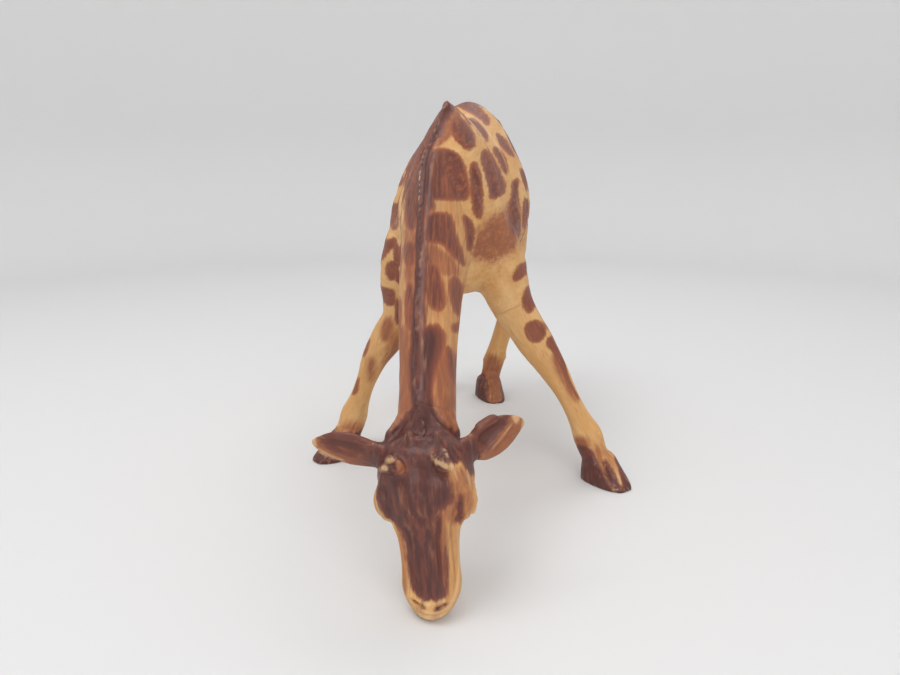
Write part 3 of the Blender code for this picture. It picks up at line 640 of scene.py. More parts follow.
def cad_copy(names, swell):
    """One mesh of the frame's mouldings, each merged and swollen enough to close the gaps."""
    bm = bmesh.new()
    for name in names:
        part = bmesh.new()
        part.from_mesh(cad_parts[name].data)
        bmesh.ops.remove_doubles(part, verts=part.verts[:], dist=0.001 * MM)
        part.normal_update()
        for vertex in part.verts:
            vertex.co += vertex.normal * swell
        mesh = mesh_of(part, "part")
        bm.from_mesh(mesh)
        bpy.data.meshes.remove(mesh)
    return mesh_of(bm, "clay")


def plain_mesh(obj):
    """The evaluated mesh of an object, which is then removed."""
    graph = bpy.context.evaluated_depsgraph_get()
    mesh = bpy.data.meshes.new_from_object(obj.evaluated_get(graph))
    bpy.data.objects.remove(obj, do_unlink=True)
    return mesh


def scene_object(name, mesh):
    obj = bpy.data.objects.new(name, mesh)
    bpy.context.scene.collection.objects.link(obj)
    return obj


def joined(meshes):
    bm = bmesh.new()
    for mesh in meshes:
        bm.from_mesh(mesh)
    return mesh_of(bm, "joined")


def remeshed(mesh, voxel):
    obj = scene_object("remesh", mesh)
    modifier = obj.modifiers.new("voxels", "REMESH")
    modifier.mode = "VOXEL"
    modifier.voxel_size = voxel
    modifier.adaptivity = 0.0
    return plain_mesh(obj)


def ball(centre, radii, segments=20):
    """A stretched ball of clay."""
    bm = bmesh.new()
    bmesh.ops.create_uvsphere(bm, u_segments=segments, v_segments=segments // 2, radius=1.0)
    place = Matrix.Translation(centre) @ Matrix.Diagonal((*radii, 1.0))
    bmesh.ops.transform(bm, matrix=place, verts=bm.verts[:])
    return mesh_of(bm, "ball")


def cropped(mesh, reach):
    """The part of a mesh ahead of a cross plane, closed there."""
    bm = bmesh.new()
    bm.from_mesh(mesh)
    cut = bmesh.ops.bisect_plane(bm, geom=bm.verts[:] + bm.edges[:] + bm.faces[:],
                                 plane_co=(0, reach, 0), plane_no=(0, 1, 0), clear_outer=True)
    edges = [item for item in cut["geom_cut"] if isinstance(item, bmesh.types.BMEdge)]
    bmesh.ops.edgenet_fill(bm, edges=edges)
    return mesh_of(bm, "cropped")


# Mane

def from_camera(tree, pixels):
    """The places on the surface behind a path of pixels."""
    hits = [tree.ray_cast(CAMERA_PLACE, pixel_ray(pixel))[0] for pixel in smooth_path(pixels)]
    return np.array([tuple(hit) for hit in hits if hit is not None])


def add(tree, kind, settings, inputs=None, out=0):
    """Adds a node, sets its properties, sets or links its inputs, and gives one of its outputs."""
    node = tree.nodes.new(kind)
    for key, value in settings.items():
        setattr(node, key, value)
    for key, value in (inputs or {}).items():
        if isinstance(value, bpy.types.NodeSocket):
            tree.links.new(value, node.inputs[key])
        else:
            node.inputs[key].default_value = value
    return node.outputs[out] if len(node.outputs) else None


def tuft_tree():
    """Geometry Nodes: overlapping tufts of hair along a curve, each turned a little at random."""
    tree = bpy.data.node_groups.new("tufts_along_a_curve", "GeometryNodeTree")
    face = tree.interface
    face.new_socket("Geometry", in_out="INPUT", socket_type="NodeSocketGeometry")
    for name, value in (("Spacing", TUFT_SPACING), ("Length", TUFT_LENGTH)):
        face.new_socket(name, in_out="INPUT", socket_type="NodeSocketFloat").default_value = value
    face.new_socket("Finish", in_out="INPUT", socket_type="NodeSocketMaterial")
    face.new_socket("Geometry", in_out="OUTPUT", socket_type="NodeSocketGeometry")
    sizes = tree.nodes.new("NodeGroupInput").outputs
    points = add(tree, "GeometryNodeCurveToPoints", {"mode": "LENGTH"},
                 {"Curve": sizes["Geometry"], "Length": sizes["Spacing"]}, "Points")
    tuft = add(tree, "GeometryNodeMeshIcoSphere", {}, {"Radius": 0.5, "Subdivisions": 2}, "Mesh")
    tuft = add(tree, "GeometryNodeTransform", {}, {"Geometry": tuft, "Scale": (0.8, 1.0, 1.25)})
    turn = add(tree, "FunctionNodeRandomValue", {"data_type": "FLOAT_VECTOR"},
               {0: (-0.5, -0.35, -0.35), 1: (0.5, 0.35, 0.35), "Seed": 7})
    grow = add(tree, "FunctionNodeRandomValue", {"data_type": "FLOAT"}, {2: 0.7, 3: 1.2, "Seed": 11}, 1)
    grow = add(tree, "ShaderNodeMath", {"operation": "MULTIPLY"}, {0: grow, 1: sizes["Length"]})
    tufts = add(tree, "GeometryNodeInstanceOnPoints", {},
                {"Points": points, "Instance": tuft, "Rotation": turn, "Scale": grow})
    tufts = add(tree, "GeometryNodeRealizeInstances", {}, {"Geometry": tufts})
    tufts = add(tree, "GeometryNodeSetMaterial", {}, {"Geometry": tufts, "Material": sizes["Finish"]})
    add(tree, "NodeGroupOutput", {}, {"Geometry": tufts})
    return tree


def row_of_tufts(path, spacing, length):
    """Tufts along a path, as plain clay."""
    curve = bpy.data.curves.new("tuft_path", "CURVE")
    curve.dimensions = "3D"
    line = curve.splines.new("POLY")
    line.points.add(len(path) - 1)
    for point, place in zip(line.points, path):
        point.co = (*place, 1.0)
    obj = scene_object("tufts", curve)
    tree = bpy.data.node_groups.get("tufts_along_a_curve") or tuft_tree()
    modifier = obj.modifiers.new("tufts", "NODES")
    modifier.node_group = tree
    sockets = {item.name: item.identifier for item in tree.interface.items_tree
               if item.item_type == "SOCKET" and item.in_out == "INPUT"}
    modifier[sockets["Spacing"]] = spacing
    modifier[sockets["Length"]] = length
    modifier[sockets["Finish"]] = bpy.data.materials.new("clay")
    return plain_mesh(obj)


CREST = from_camera(NODE_TREE, MANE_LINE)


# Forming

def at_pixel(pixel, beyond=0.0):
    """The place on the mouldings behind a pixel, or a distance beyond it."""
    ray = pixel_ray(pixel)
    return NODE_TREE.ray_cast(CAMERA_PLACE, ray)[0] + ray * beyond


KNOBS = [at_pixel(pixel) for pixel in KNOB_PIXELS]

# Flesh that widens the neck into the head: a pixel on the neck, the pixel of the middle, radius in mm
POLL_FLESH = (((404, 410), (406, 410), 1.7), ((404, 414), (404.5, 418), 1.7),
              ((404, 418), (401, 426), 1.7), ((404, 422), (397, 433), 1.7),
              ((404, 424), (391.5, 440), 1.7), ((450, 414), (449, 420), 1.7),
              ((450, 418), (451, 428), 1.7), ((450, 420), (453.5, 435), 1.7),
              ((414, 449), (411, 441), 1.6), ((424, 450), (422, 443), 1.6),
              ((434, 449), (434, 442), 1.6), ((446, 112), (446.5, 109.5), 1.4))
FLESH_STRETCH = 1.6


def flesh():
    """Balls of clay that fill the corners between the neck and the ears."""
    balls = []
    for on_neck, middle, radius in POLL_FLESH:
        distance = (at_pixel(on_neck, radius * MM) - CAMERA_PLACE).length
        centre = CAMERA_PLACE + pixel_ray(middle) * distance
        balls.append(ball(centre, (radius * MM, radius * MM, radius * FLESH_STRETCH * MM)))
    return balls


def eyeballs():
    """Two eyeballs that show between the lids."""
    along, across, rise = EYE_SHARES
    return [ball(head_point(along, sign * across, rise),
                 (EYE_RADIUS * 0.8, EYE_RADIUS, EYE_RADIUS * 1.05)) for sign in (1, -1)]


def softening_reach(clay):
    """How far the surface is smoothed at each point, in metres."""
    table = np.array([SOFTENING_MM[name] for name in NODES])
    reach = table[clay.owners]
    poll = np.array(head_point(0.0, 0.0, 0.0))
    from_head = np.linalg.norm(clay.points - poll, axis=1) / MM
    ramp = smoothstep(14.0, 26.0, from_head)
    neck = clay.owned_by("neck")
    reach[neck] = SOFTENING_MM["head"] + (reach[neck] - SOFTENING_MM["head"]) * ramp[neck]
    for knob in KNOBS:
        from_knob = np.linalg.norm(clay.points - np.array(knob), axis=1)
        on_knob = clay.owned_by("head") & (from_knob < KNOB_RADIUS)
        reach[on_knob] = KNOB_SOFTENING_MM
    hoof = clay.owned_by(*LEG_NODES) & (clay.points[:, 2] < HOOF_TOP * 1.2)
    reach[hoof] = HOOF_SOFTENING_MM
    from_crest = path_distance(clay.points, CREST) / MM
    return np.minimum(clay.blurred(reach, 0.8 * MM), 0.28 + 0.5 * np.maximum(from_crest - 1.2, 0)) * MM


def formed(mesh, grain):
    """Clay in the shape of the mouldings, smoothed and carved."""
    clay = Clay(remeshed(mesh, grain), grain)
    clay.points -= clay.normals() * GAP_FILL
    clay.relax(softening_reach(clay))
    narrow_muzzle(clay)
    wear_knobs(clay)
    broaden_ear(clay)
    carve(clay)
    comb_hair(clay)
    return clay


def narrow_muzzle(clay):
    """Draws the sides of the muzzle together towards the lips."""
    along, across, _ = head_shares(clay.points)
    pinch = MUZZLE_PINCH * smoothstep(*MUZZLE_SHARES, along) * clay.owned_by("head")
    side = np.array(head_directions()[1])
    clay.points -= (pinch * across * HEAD_WIDTH * 0.5)[:, None] * side


def wear_knobs(clay):
    """Wears both ossicones down to low knobs."""
    face = np.array(head_directions()[2])
    for knob in KNOBS:
        rays = clay.points - np.array(knob)
        height = rays @ face
        from_middle = np.linalg.norm(rays - height[:, None] * face, axis=1)
        near = clay.owned_by("head") * (1 - smoothstep(*KNOB_RIM, from_middle))
        clay.points -= (near * KNOB_WEAR * np.clip(height + KNOB_HEIGHT, 0, None))[:, None] * face


def broaden_ear(clay):
    """Makes the left ear a little shorter and broader."""
    ear = np.nonzero(clay.owned_by("left_ear"))[0]
    root, tip = [np.array(at_pixel(pixel)) for pixel in EAR_ENDS]
    along = (tip - root) / np.linalg.norm(tip - root)
    across = np.cross(along, camera_axes()[2])
    across /= np.linalg.norm(across)
    rays = clay.points[ear] - root
    grip = smoothstep(0.0, 3 * MM, rays @ along)
    clay.points[ear] += ((EAR_BROADER - 1) * grip * (rays @ across))[:, None] * across
    clay.points[ear] -= ((1 - EAR_SHORTER) * grip * (rays @ along))[:, None] * along
    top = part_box("left_ear")[1][2]
    clay.points[ear, 2] = np.minimum(clay.points[ear, 2], top)


def body_clay():
    tufts = row_of_tufts(CREST, TUFT_SPACING, TUFT_LENGTH)
    return formed(joined([cad_copy(NODES, GAP_FILL), tufts, *flesh()]), BODY_GRAIN)


def head_clay():
    tufts = row_of_tufts(CREST, TUFT_SPACING, TUFT_LENGTH)
    mesh = joined([cad_copy([*HEAD_NODES, "neck"], GAP_FILL), tufts, *flesh(), *eyeballs()])
    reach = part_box("head")[1][1] + 8 * MM
    return formed(cropped(mesh, reach), HEAD_GRAIN)


# Carving

def from_side(tree, places, sign):
    """The places on one flank beside a path of (y, z) values in mm."""
    hits = []
    for y, z in smooth_path(places):
        start = Vector((sign * 0.1, y * MM, z * MM))
        hits.append(tree.ray_cast(start, Vector((-sign, 0, 0)))[0])
    return np.array([tuple(hit) for hit in hits if hit is not None])


def onto_surface(tree, places):
    return np.array([tuple(tree.find_nearest(Vector(place))[0]) for place in smooth_path(places)])


def eyelid_paths():
    """An upper lid, a lower lid and the fold above, round each eye, as points in the head."""
    along, across, rise = EYE_SHARES
    for sign in (1, -1):
        for reach, lift, arc, width, height in EYELIDS:
            path = []
            for t in np.linspace(-pi / 2, pi / 2, 9):
                path.append(head_point(along + reach * sin(t), sign * (across + 0.16),
                                       rise + arc * lift * cos(t)))
            yield path, width, height


def carve(clay):
    """All the marks that the sculptor's tool left, on the face, the legs and both flanks."""
    tree = clay.tree()
    normals = clay.blurred(clay.normals(), 0.4 * MM)
    normals /= np.linalg.norm(normals, axis=1)[:, None]
    marks = [(from_camera(tree, path), width, height) for path, width, height in FRONT_MARKS]
    flank = list(SIDE_MARKS)
    for k in range(RIBS):
        path = [(y + k * RIB_SPACING, z + k * 0.4) for y, z in FIRST_RIB]
        flank.append((path, RIB_WIDTH, RIB_HEIGHT))
    for sign in (1, -1):
        marks += [(from_side(tree, path, sign), width, height) for path, width, height in flank]
    marks += [(onto_surface(tree, path), width, height) for path, width, height in eyelid_paths()]
    for sign in (1, -1):
        mouth = [head_point(share, sign * 0.62, -0.16 - 0.1 * (1 - share)) for share in (0.98, 0.86, 0.72)]
        marks.append((onto_surface(tree, mouth), 0.7, -0.4))
        jaw = [head_point(share, sign * 0.9, -0.32) for share in (0.62, 0.45, 0.25)]
        marks.append((onto_surface(tree, jaw), 1.8, 0.4))
    for path, width, height in marks:
        if len(path) > 1:
            clay.stroke(path, width * MM, height * MM, normals)


def moulding_axis(name):
    """The middle of a moulding, and the direction in which it is longest."""
    points = np.array([v.co[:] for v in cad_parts[name].data.vertices])
    centre = points.mean(axis=0)
    return centre, np.linalg.svd(points - centre, full_matrices=False)[2][0]


MOULDING_AXES = [moulding_axis(name) for name in NODES]


def drawn_together(points, index):
    """Places squeezed along a moulding, so that noise on them runs as hair does."""
    centre, axis = MOULDING_AXES[index]
    rays = points - centre
    return rays - ((rays @ axis) * (1 - 1 / HAIR_STRETCH))[:, None] * axis


def hair_places(clay):
    """Places in mm along the hair of each moulding, for the paint's streaks."""
    out = np.empty_like(clay.points)
    for index in range(len(NODES)):
        mine = clay.owners == index
        out[mine] = drawn_together(clay.points[mine], index) / MM
    return out


def locks_of_hair(clay):
    """Ridges and furrows that run along each moulding, and melt together at its joints."""
    locks = np.zeros(len(clay.points))
    total = np.zeros(len(clay.points))
    for index in np.unique(clay.owners):
        weight = clay.blurred((clay.owners == index).astype(float), 0.8 * MM)
        mine = np.nonzero(weight > 0.01)[0]
        places = drawn_together(clay.points[mine], index) / HAIR_WIDTH
        wave = soft_noise(places, 3) + 0.6 * soft_noise(places * 2.1, 4)
        locks[mine] += weight[mine] * wave
        total[mine] += weight[mine]
    return locks / total


def comb_hair(clay):
    """Fine locks of moulded hair, deeper on the chest, the neck, the tail and the muzzle."""
    locks = locks_of_hair(clay)
    depth = np.array([HAIR_SHARES.get(name, PLAIN_HAIR) for name in NODES])[clay.owners]
    depth[clay.owned_by("tail") & (clay.points[:, 2] < TAIL_TUFT_TOP)] = TUFT_HAIR
    depth[clay.points[:, 2] < HOOF_TOP] = HOOF_HAIR
    depth = clay.blurred(depth, 0.8 * MM) * (1 - 0.9 * eye_mask(clay.points))
    clay.points += clay.normals() * (locks * depth * HAIR_DEPTH)[:, None]


def eye_mask(points):
    along, across, rise = head_shares(points)
    mask = np.zeros(len(points))
    for sign in (1, -1):
        middle = EYE_SHARES
        gap = ((along - middle[0]) / 0.078) ** 2 + ((rise - middle[2]) / 0.092) ** 2
        outer = sign * across > 0.75
        mask = np.maximum(mask, outer * (1 - smoothstep(0.75, 1.1, gap)))
    return mask


# Painting

def seen_in_photo(clay):
    """1 where the photograph shows the surface, 0 where it is hidden or edge on."""
    tree = clay.tree()
    rays = clay.points - np.array(CAMERA_PLACE)
    reach = np.linalg.norm(rays, axis=1)
    rays /= reach[:, None]
    facing = -(rays * clay.normals()).sum(axis=1)
    seen = np.zeros(len(rays))
    for k in np.nonzero(facing > 0)[0]:
        distance = tree.ray_cast(CAMERA_PLACE, Vector(rays[k]))[3]
        seen[k] = distance is not None and distance > reach[k] - HIDDEN_GAP
    return clay.blurred(seen * smoothstep(*GRAZING, facing), 0.8 * MM)


def patch_spacing(clay):
    spacing = np.full(len(clay.points), TORSO_CELL)
    spacing[clay.owned_by("neck")] = NECK_CELL
    ramp = smoothstep(45 * MM, 70 * MM, clay.points[:, 2])
    low = LEG_CELL + (TORSO_CELL - LEG_CELL) * ramp
    return np.where(clay.owned_by("neck", *HEAD_NODES), spacing, np.minimum(spacing, low))


def grown_patches(clay):
    """Depth in mm inside patches that spread from scattered seeds until they nearly meet."""
    places = clay.points / MM
    spacing = patch_spacing(clay)
    seeds = []
    order = np.random.default_rng(21).permutation(len(places))[:SEED_TRIES]
    for k in order:
        apart = np.linalg.norm(np.array(seeds) - places[k], axis=1) if seeds else np.array([np.inf])
        if np.min(apart / spacing[k]) > SEED_PACKING:
            seeds.append(places[k])
    seeds = np.array(seeds)
    wide = places / CELL_WANDER_WIDTH
    wander = [soft_noise(wide, 31 + k) + 0.5 * soft_noise(wide * 2.3, 41 + k) for k in range(3)]
    warped = places + CELL_WANDER * np.stack(wander, axis=1)
    depth = np.empty(len(places))
    for start in range(0, len(places), BLOCK):
        block = warped[start:start + BLOCK]
        squared = ((block[:, None, :] - seeds[None]) ** 2).sum(axis=2)
        nearest = np.argpartition(squared, 2, axis=1)[:, :3]
        order = np.argsort(np.take_along_axis(squared, nearest, axis=1), axis=1)
        first, second, third = np.take_along_axis(nearest, order, axis=1).T
        rows = np.arange(len(block))
        sides = []
        for other in (second, third):
            apart = np.linalg.norm(seeds[other] - seeds[first], axis=1)
            sides.append((squared[rows, other] - squared[rows, first]) / (2 * apart))
        nearer, further = np.minimum(*sides), np.maximum(*sides)
        corner = np.clip(CELL_CORNER - (further - nearer), 0, None)
        depth[start:start + BLOCK] = nearer - 0.5 * corner
    return depth - CELL_GAP / 2


def bare_of_patches(clay):
    """1 on the belly, inside the legs and below the knees, where the coat stays plain."""
    normals = clay.blurred(clay.normals(), 1.5 * MM)
    belly = smoothstep(0.45, 0.75, -normals[:, 2]) * (clay.points[:, 2] < 75 * MM)
    inner = np.zeros(len(normals))
    for name in LEG_NODES:
        side = 1 if "left" in name else -1
        inner[clay.owned_by(name)] = smoothstep(0.2, 0.5, -side * normals[clay.owned_by(name), 0])
    low = 1 - smoothstep(26 * MM, 36 * MM, clay.points[:, 2])
    low *= clay.owned_by(*LEG_NODES)
    bare = np.maximum(np.maximum(belly, inner), low)
    bare[clay.owned_by(*HEAD_NODES)] = 1.0
    bare[clay.owned_by("tail")] = 1.0
    return clay.blurred(bare, 0.8 * MM)


class Painter:
    """Lays the paint on one clay: by the photograph's outlines where it shows, by rule elsewhere."""

    def __init__(self, clay):
        self.clay = clay
        self.pixels, range_to = to_pixels(clay.points)
        self.scale = range_to / FOCAL_PIXELS / MM
        self.height = clay.points[:, 2]
        from_crest = path_distance(clay.points, CREST) / MM
        self.crest = MANE_HALF_WIDTH / MM - from_crest
        self.seen = np.maximum(seen_in_photo(clay), 1 - smoothstep(2.0, 4.0, from_crest))
        self.unseen = 1 - self.seen
        self.along, _, self.rise = head_shares(clay.points)
        self.hollow = clay.hollow(0.9 * MM)
        self.head = clay.owned_by("head")
        self.neck = clay.owned_by("neck")
        self.legs = clay.owned_by(*LEG_NODES)
        self.ears = clay.owned_by("left_ear", "right_ear")

    def inside(self, *outlines):
        """Depth in mm inside the nearest of several outlines, negative outside them all."""
        return np.max([outline_depth(self.pixels, line) for line in outlines], axis=0) * self.scale

    def distance_from(self, place):
        """Distance of each point from a place, in mm."""
        return np.linalg.norm(self.clay.points - np.array(place), axis=1) / MM

    def patches(self):
        """Brown patches: those that the photograph shows, and grown ones on the hidden sides."""
        grown = np.full(len(self.seen), BARE)
        if self.clay.owned_by("torso").any():
            grown = grown_patches(self.clay) - 6 * bare_of_patches(self.clay)
        thin = np.minimum(self.inside(*SHOULDER_PATCHES), THIN_PATCH)
        shown = np.maximum(self.inside(*NECK_PATCHES, *FLANK_PATCHES), thin) + PATCH_SPREAD
        shown = np.minimum(shown, -self.inside(*PATCH_GAPS))
        return self.seen * shown + self.unseen * grown

    def washes(self):
        """Thin reddish paint, over the photograph's outlines, the neck, the ankles and the ears."""
        read = [strength * smoothstep(-fade, fade, outline_depth(self.pixels, outline))
                for outline, fade, strength in RUSSET_WASHES]
        shown_leg = self.seen * self.clay.owned_by("front_left_leg")
        above_hoof = 1 - smoothstep(HOOF_TOP, HOOF_TOP + 3 * MM, self.height)
        ankle = 1 - smoothstep(8 * MM, 15 * MM, self.height)
        near_poll = 1 - smoothstep(12.0, 26.0, self.distance_from(head_point(0.0, 0.0, 0.0)))
        wash = np.max([self.seen * np.max(read, axis=0),
                       NECK_TINT * self.neck,
                       0.8 * self.legs * (1 - shown_leg) * above_hoof,
                       0.8 * self.legs * self.unseen * ankle,
                       0.8 * self.neck * self.unseen * near_poll,
                       0.5 * self.head * self.unseen * smoothstep(-0.4, 0.1, self.rise)], axis=0)
        return np.where(self.ears, 1.0, wash)

    def dark(self):
        """Dark paint on the face, the ears, the mane, the hooves and the tuft of the tail, and painted
        shade beside the mane.
        """
        face = np.minimum(self.inside(FACE_DARK, *NOSTRILS_DARK, *FACE_STREAKS), -self.inside(*FACE_GAPS))
        crown = 1 - smoothstep(0.10, 0.22, self.along)
        brow = smoothstep(0.42, 0.55, self.rise)
        face = self.seen * face + self.unseen * (np.maximum(crown, brow) * 4 - 2)
        for sign in (1, -1):
            face = np.maximum(face, 4.0 - self.distance_from(head_point(0.15, sign * 0.9, 0.0)))
        shade_beside_mane = self.seen * self.inside(*MANE_SIDE_SHADE) + self.unseen * BARE
        # The ears' dark paint is held thin so that they show lighter: painted sheen on the glossy ears
        ear = np.minimum(self.seen * self.inside(*EARS_DARK) + self.unseen * 1.2, 0.3)
        hoof = (HOOF_TOP - self.height) / MM
        shown_hoof = self.seen * self.inside(*HOOF_DARK) + self.unseen * hoof
        tuft = (TAIL_TUFT_TOP - self.height) / MM
        shown_legs = self.clay.owned_by("front_left_leg", "hind_left_leg")
        dark = np.select([self.head, self.neck, self.ears, shown_legs, self.legs,
                          self.clay.owned_by("tail")],
                         [face, shade_beside_mane, ear, shown_hoof, hoof, tuft], BARE)
        with_mane = np.maximum(np.maximum(dark, self.crest), BARE)
        dark = np.where(self.ears | shown_legs, dark, with_mane)
        return self.clay.blurred(dark, 0.3 * MM)

    def pale(self):
        """Pale places: bare vinyl at the high places, the soles, the lips and the ears' tips, and painted
        highlights on the mane's tufts and the flank's ridges.
        """
        low, high = smoothstep(66 * MM, 76 * MM, self.height), smoothstep(87 * MM, 93 * MM, self.height)
        # Painted highlights on the tops of the mane's tufts
        bead_highlights = np.minimum((-self.hollow - 0.12) * 5, 0.5) - (1 - low * (1 - high))
        pale_marks = [self.seen * self.inside(*PALE_SPOTS) / 0.8,
                np.where(self.crest > 0, bead_highlights, BARE),
                np.where(self.legs, (0.35 * MM - self.height) / MM, BARE),
                np.where(self.head, (self.along - 0.95) * 20, BARE)]
        for name, tip in (("left_ear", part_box("left_ear")[1]), ("right_ear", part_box("right_ear")[0])):
            from_tip = abs(self.clay.points[:, 0] - tip[0]) / MM
            pale_marks.append(np.where(self.clay.owned_by(name), 1.4 - from_tip, BARE))
        return np.max(pale_marks, axis=0)

    def layers(self):
        """Where each layer of paint lies: depths inside its edge in mm, or amounts from 0 to 1."""
        return {
            "patch_depth": np.clip(self.patches(), -3, 3),
            "dark_depth": np.clip(self.dark(), -3, 3),
            "russet_wash": np.clip(self.washes(), 0, 1),
            "wear_and_highlight": np.clip(self.pale(), -3, 1.5),
            "hollow": np.clip(self.hollow, -0.4, 0.4),
            "eye": eye_mask(self.clay.points) * self.head,
            "hair": hair_places(self.clay),
            "clay_normal": self.clay.normals(),
        }


# Random streaks that run along the hair: width in mm, detail and seed. Single hairs are drawn
# 0.45 mm wide so that they show in the render.
NOISES = {"streaks": (1.0, 3.0, 1), "blots": (5.0, 2.0, 2), "hairs": (0.45, 2.0, 3)}

# Where a painted layer shows: its depth in mm or its amount, how far the streaks shift its edge,
# and where it begins and is full
EDGES = {
    "patch": ("patch_depth", 1.2, -0.35, 0.30),
    "patch_core": ("patch_depth", 1.8, -0.1, 1.0),
    "dark": ("dark_depth", 1.8, -0.6, 0.2),
    "dark_core": ("dark_depth", 2.4, -0.2, 0.9),
    "wash": ("russet_wash", 0.9, 0.05, 1.0),
    "wash_core": ("russet_wash", 1.8, 0.6, 1.15),
    "pale": ("wear_and_highlight", 1.3, 0.0, 0.7),
    # groove: painted shade where the surface lies below its surroundings; ridge: painted highlight on the
    # high places
    "groove": ("hollow", 0.0, 0.015, 0.16),
    "ridge": ("hollow", 0.0, -0.02, -0.16),
    "sandy": ("blots", 0.0, 0.35, 0.75),
    "dark_hairs": ("hairs", 0.0, 0.45, 0.8),
    "uneven": ("blots", 0.0, 0.42, 0.7),
    "reddish": ("streaks", 0.0, 0.42, 0.68),
    "brown_hairs": ("hairs", 0.0, 0.50, 0.75),
    "umber_streaks": ("streaks", 0.0, 0.40, 0.68),
    # Blots of grey painted sheen on the dark paint
    "sheen_blots": ("blots", 0.0, 0.5, 0.8),
    # Streaks that break up the painted highlight on the ridges
    "highlight_streaks": ("streaks", 0.0, 0.5, 0.72),
}

# Coats of paint, each a first colour and what is brushed over it: colour, where, and how much
COATS = {
    # The ground takes russet in the grooves as painted shade
    "ground": (OCHRE, (SAND, ("sandy",), 1.0), (RUSSET, ("groove",), 0.5),
               (RUSSET, ("dark_hairs",), 0.30), (RUSSET, ("wash",), 0.85),
               (CHESTNUT, ("wash_core",), 0.45)),
    "brown": (CHESTNUT, (UMBER, ("uneven",), 0.6), (RUSSET, ("reddish",), 0.8),
              (UMBER, ("brown_hairs",), 0.5)),
    "patches": (RUSSET, ("brown", ("patch_core",), 1.0)),
    # Umber with grey blots of painted sheen
    "umber": (UMBER, (CHESTNUT, ("umber_streaks",), 0.9), (SLATE, ("sheen_blots",), 1.0)),
    "face": (CHESTNUT, ("umber", ("dark_core",), 1.0)),
    "whole": ("ground", ("patches", ("patch",), 1.0), ("face", ("dark",), 1.0),
              # Umber in the grooves of the dark paint is painted shade, and sand on the ridges is a
              # painted highlight
              (UMBER, ("groove", "dark"), 0.5), (SAND, ("ridge", "highlight_streaks"), 0.20),
              (CREAM, ("pale",), 0.65), (EYE_BLACK, ("eye",), 1.0)),
}


def painted_vinyl():
    """Soft vinyl, moulded and painted by hand.

    A low sheen on the ochre ground and a soft gloss on the brown paint, whose edges follow the
    brush. Reddish paint is thin at the edges. The grooves are darkened as painted shade, the ridges
    lightened as a painted highlight, and the dark paint has grey blots of painted sheen.
    """
    material = bpy.data.materials.new("painted_vinyl")
    material.use_nodes = True
    tree = material.node_tree
    shader = tree.nodes["Principled BSDF"]
    shader.inputs["IOR"].default_value = 1.53

    value = {name: add(tree, "ShaderNodeAttribute", {"attribute_name": name}, out="Fac")
             for name in ("patch_depth", "dark_depth", "russet_wash", "wear_and_highlight", "hollow", "eye")}
    hair = add(tree, "ShaderNodeAttribute", {"attribute_name": "hair"}, out="Vector")
    for name, (width, detail, seed) in NOISES.items():
        place = add(tree, "ShaderNodeVectorMath", {"operation": "ADD"},
                    {0: hair, 1: (seed, seed * 2, seed * 3)})
        value[name] = add(tree, "ShaderNodeTexNoise", {}, {"Vector": place, "Scale": 1 / width,
                                                           "Detail": detail, "Roughness": 0.6})
    for name, (source, stray, low, high) in EDGES.items():
        depth = value[source]
        if stray:
            depth = add(tree, "ShaderNodeMath", {"operation": "MULTIPLY_ADD"},
                        {0: value["streaks"], 1: stray, 2: depth})
        value[name] = add(tree, "ShaderNodeMapRange", {"interpolation_type": "SMOOTHSTEP"},
                          {"Value": depth, "From Min": low + stray / 2, "From Max": high + stray / 2})
    coats = {}
    for name, (first, *strokes) in COATS.items():
        colour = coats.get(first) or linear(first)
        for paint, places, share in strokes:
            amount = share
            for place in places:
                amount = add(tree, "ShaderNodeMath", {"operation": "MULTIPLY"},
                             {0: value[place], 1: amount})
            colour = add(tree, "ShaderNodeMix", {"data_type": "RGBA"},
                         {0: amount, 6: colour, 7: coats.get(paint) or linear(paint)}, 2)
        coats[name] = colour
    tree.links.new(coats["whole"], shader.inputs["Base Color"])

    # Dark paint is glossier, the pale places of bare vinyl and painted highlight are duller, and the eyes
    # shine
    browned = add(tree, "ShaderNodeMath", {"operation": "MULTIPLY"}, {0: value["patch"], 1: 0.5})
    browned = add(tree, "ShaderNodeMath", {"operation": "MAXIMUM"}, {0: browned, 1: value["dark"]})
    kept = add(tree, "ShaderNodeMath", {"operation": "SUBTRACT"}, {0: 1.0, 1: value["pale"]})
    gloss = add(tree, "ShaderNodeMath", {"operation": "MULTIPLY"}, {0: browned, 1: kept})
    rough = add(tree, "ShaderNodeMath", {"operation": "MULTIPLY_ADD"},
                {0: value["streaks"], 1: 0.14, 2: 0.52})
    for shine, share in ((gloss, -0.13), (value["eye"], -0.34)):
        rough = add(tree, "ShaderNodeMath", {"operation": "MULTIPLY_ADD"}, {0: shine, 1: share, 2: rough})
    tree.links.new(rough, shader.inputs["Roughness"])

    relief = add(tree, "ShaderNodeMath", {"operation": "MULTIPLY"}, {0: value["hairs"], 1: 0.4})
    relief = add(tree, "ShaderNodeMath", {"operation": "MULTIPLY_ADD"},
                 {0: value["streaks"], 1: 0.6, 2: relief})
    smooth = add(tree, "ShaderNodeMath", {"operation": "SUBTRACT"}, {0: 1.0, 1: value["eye"]})
    relief = add(tree, "ShaderNodeMath", {"operation": "MULTIPLY"}, {0: relief, 1: smooth})
    bump = add(tree, "ShaderNodeBump", {}, {"Height": relief, "Strength": 0.9, "Distance": 0.22 * MM})
    tree.links.new(bump, shader.inputs["Normal"])
    return material


# Pieces

SEAM_MARGIN = 1.6 * MM
POLL_MARGIN = 3.4 * MM         # the joint of the head and the neck wanders further from its plane
SMALL_JOINT = 4.0 * MM         # a joint of a smaller radius is cut closely, as other clay lies near
MIN_SEAM_EDGES = 24


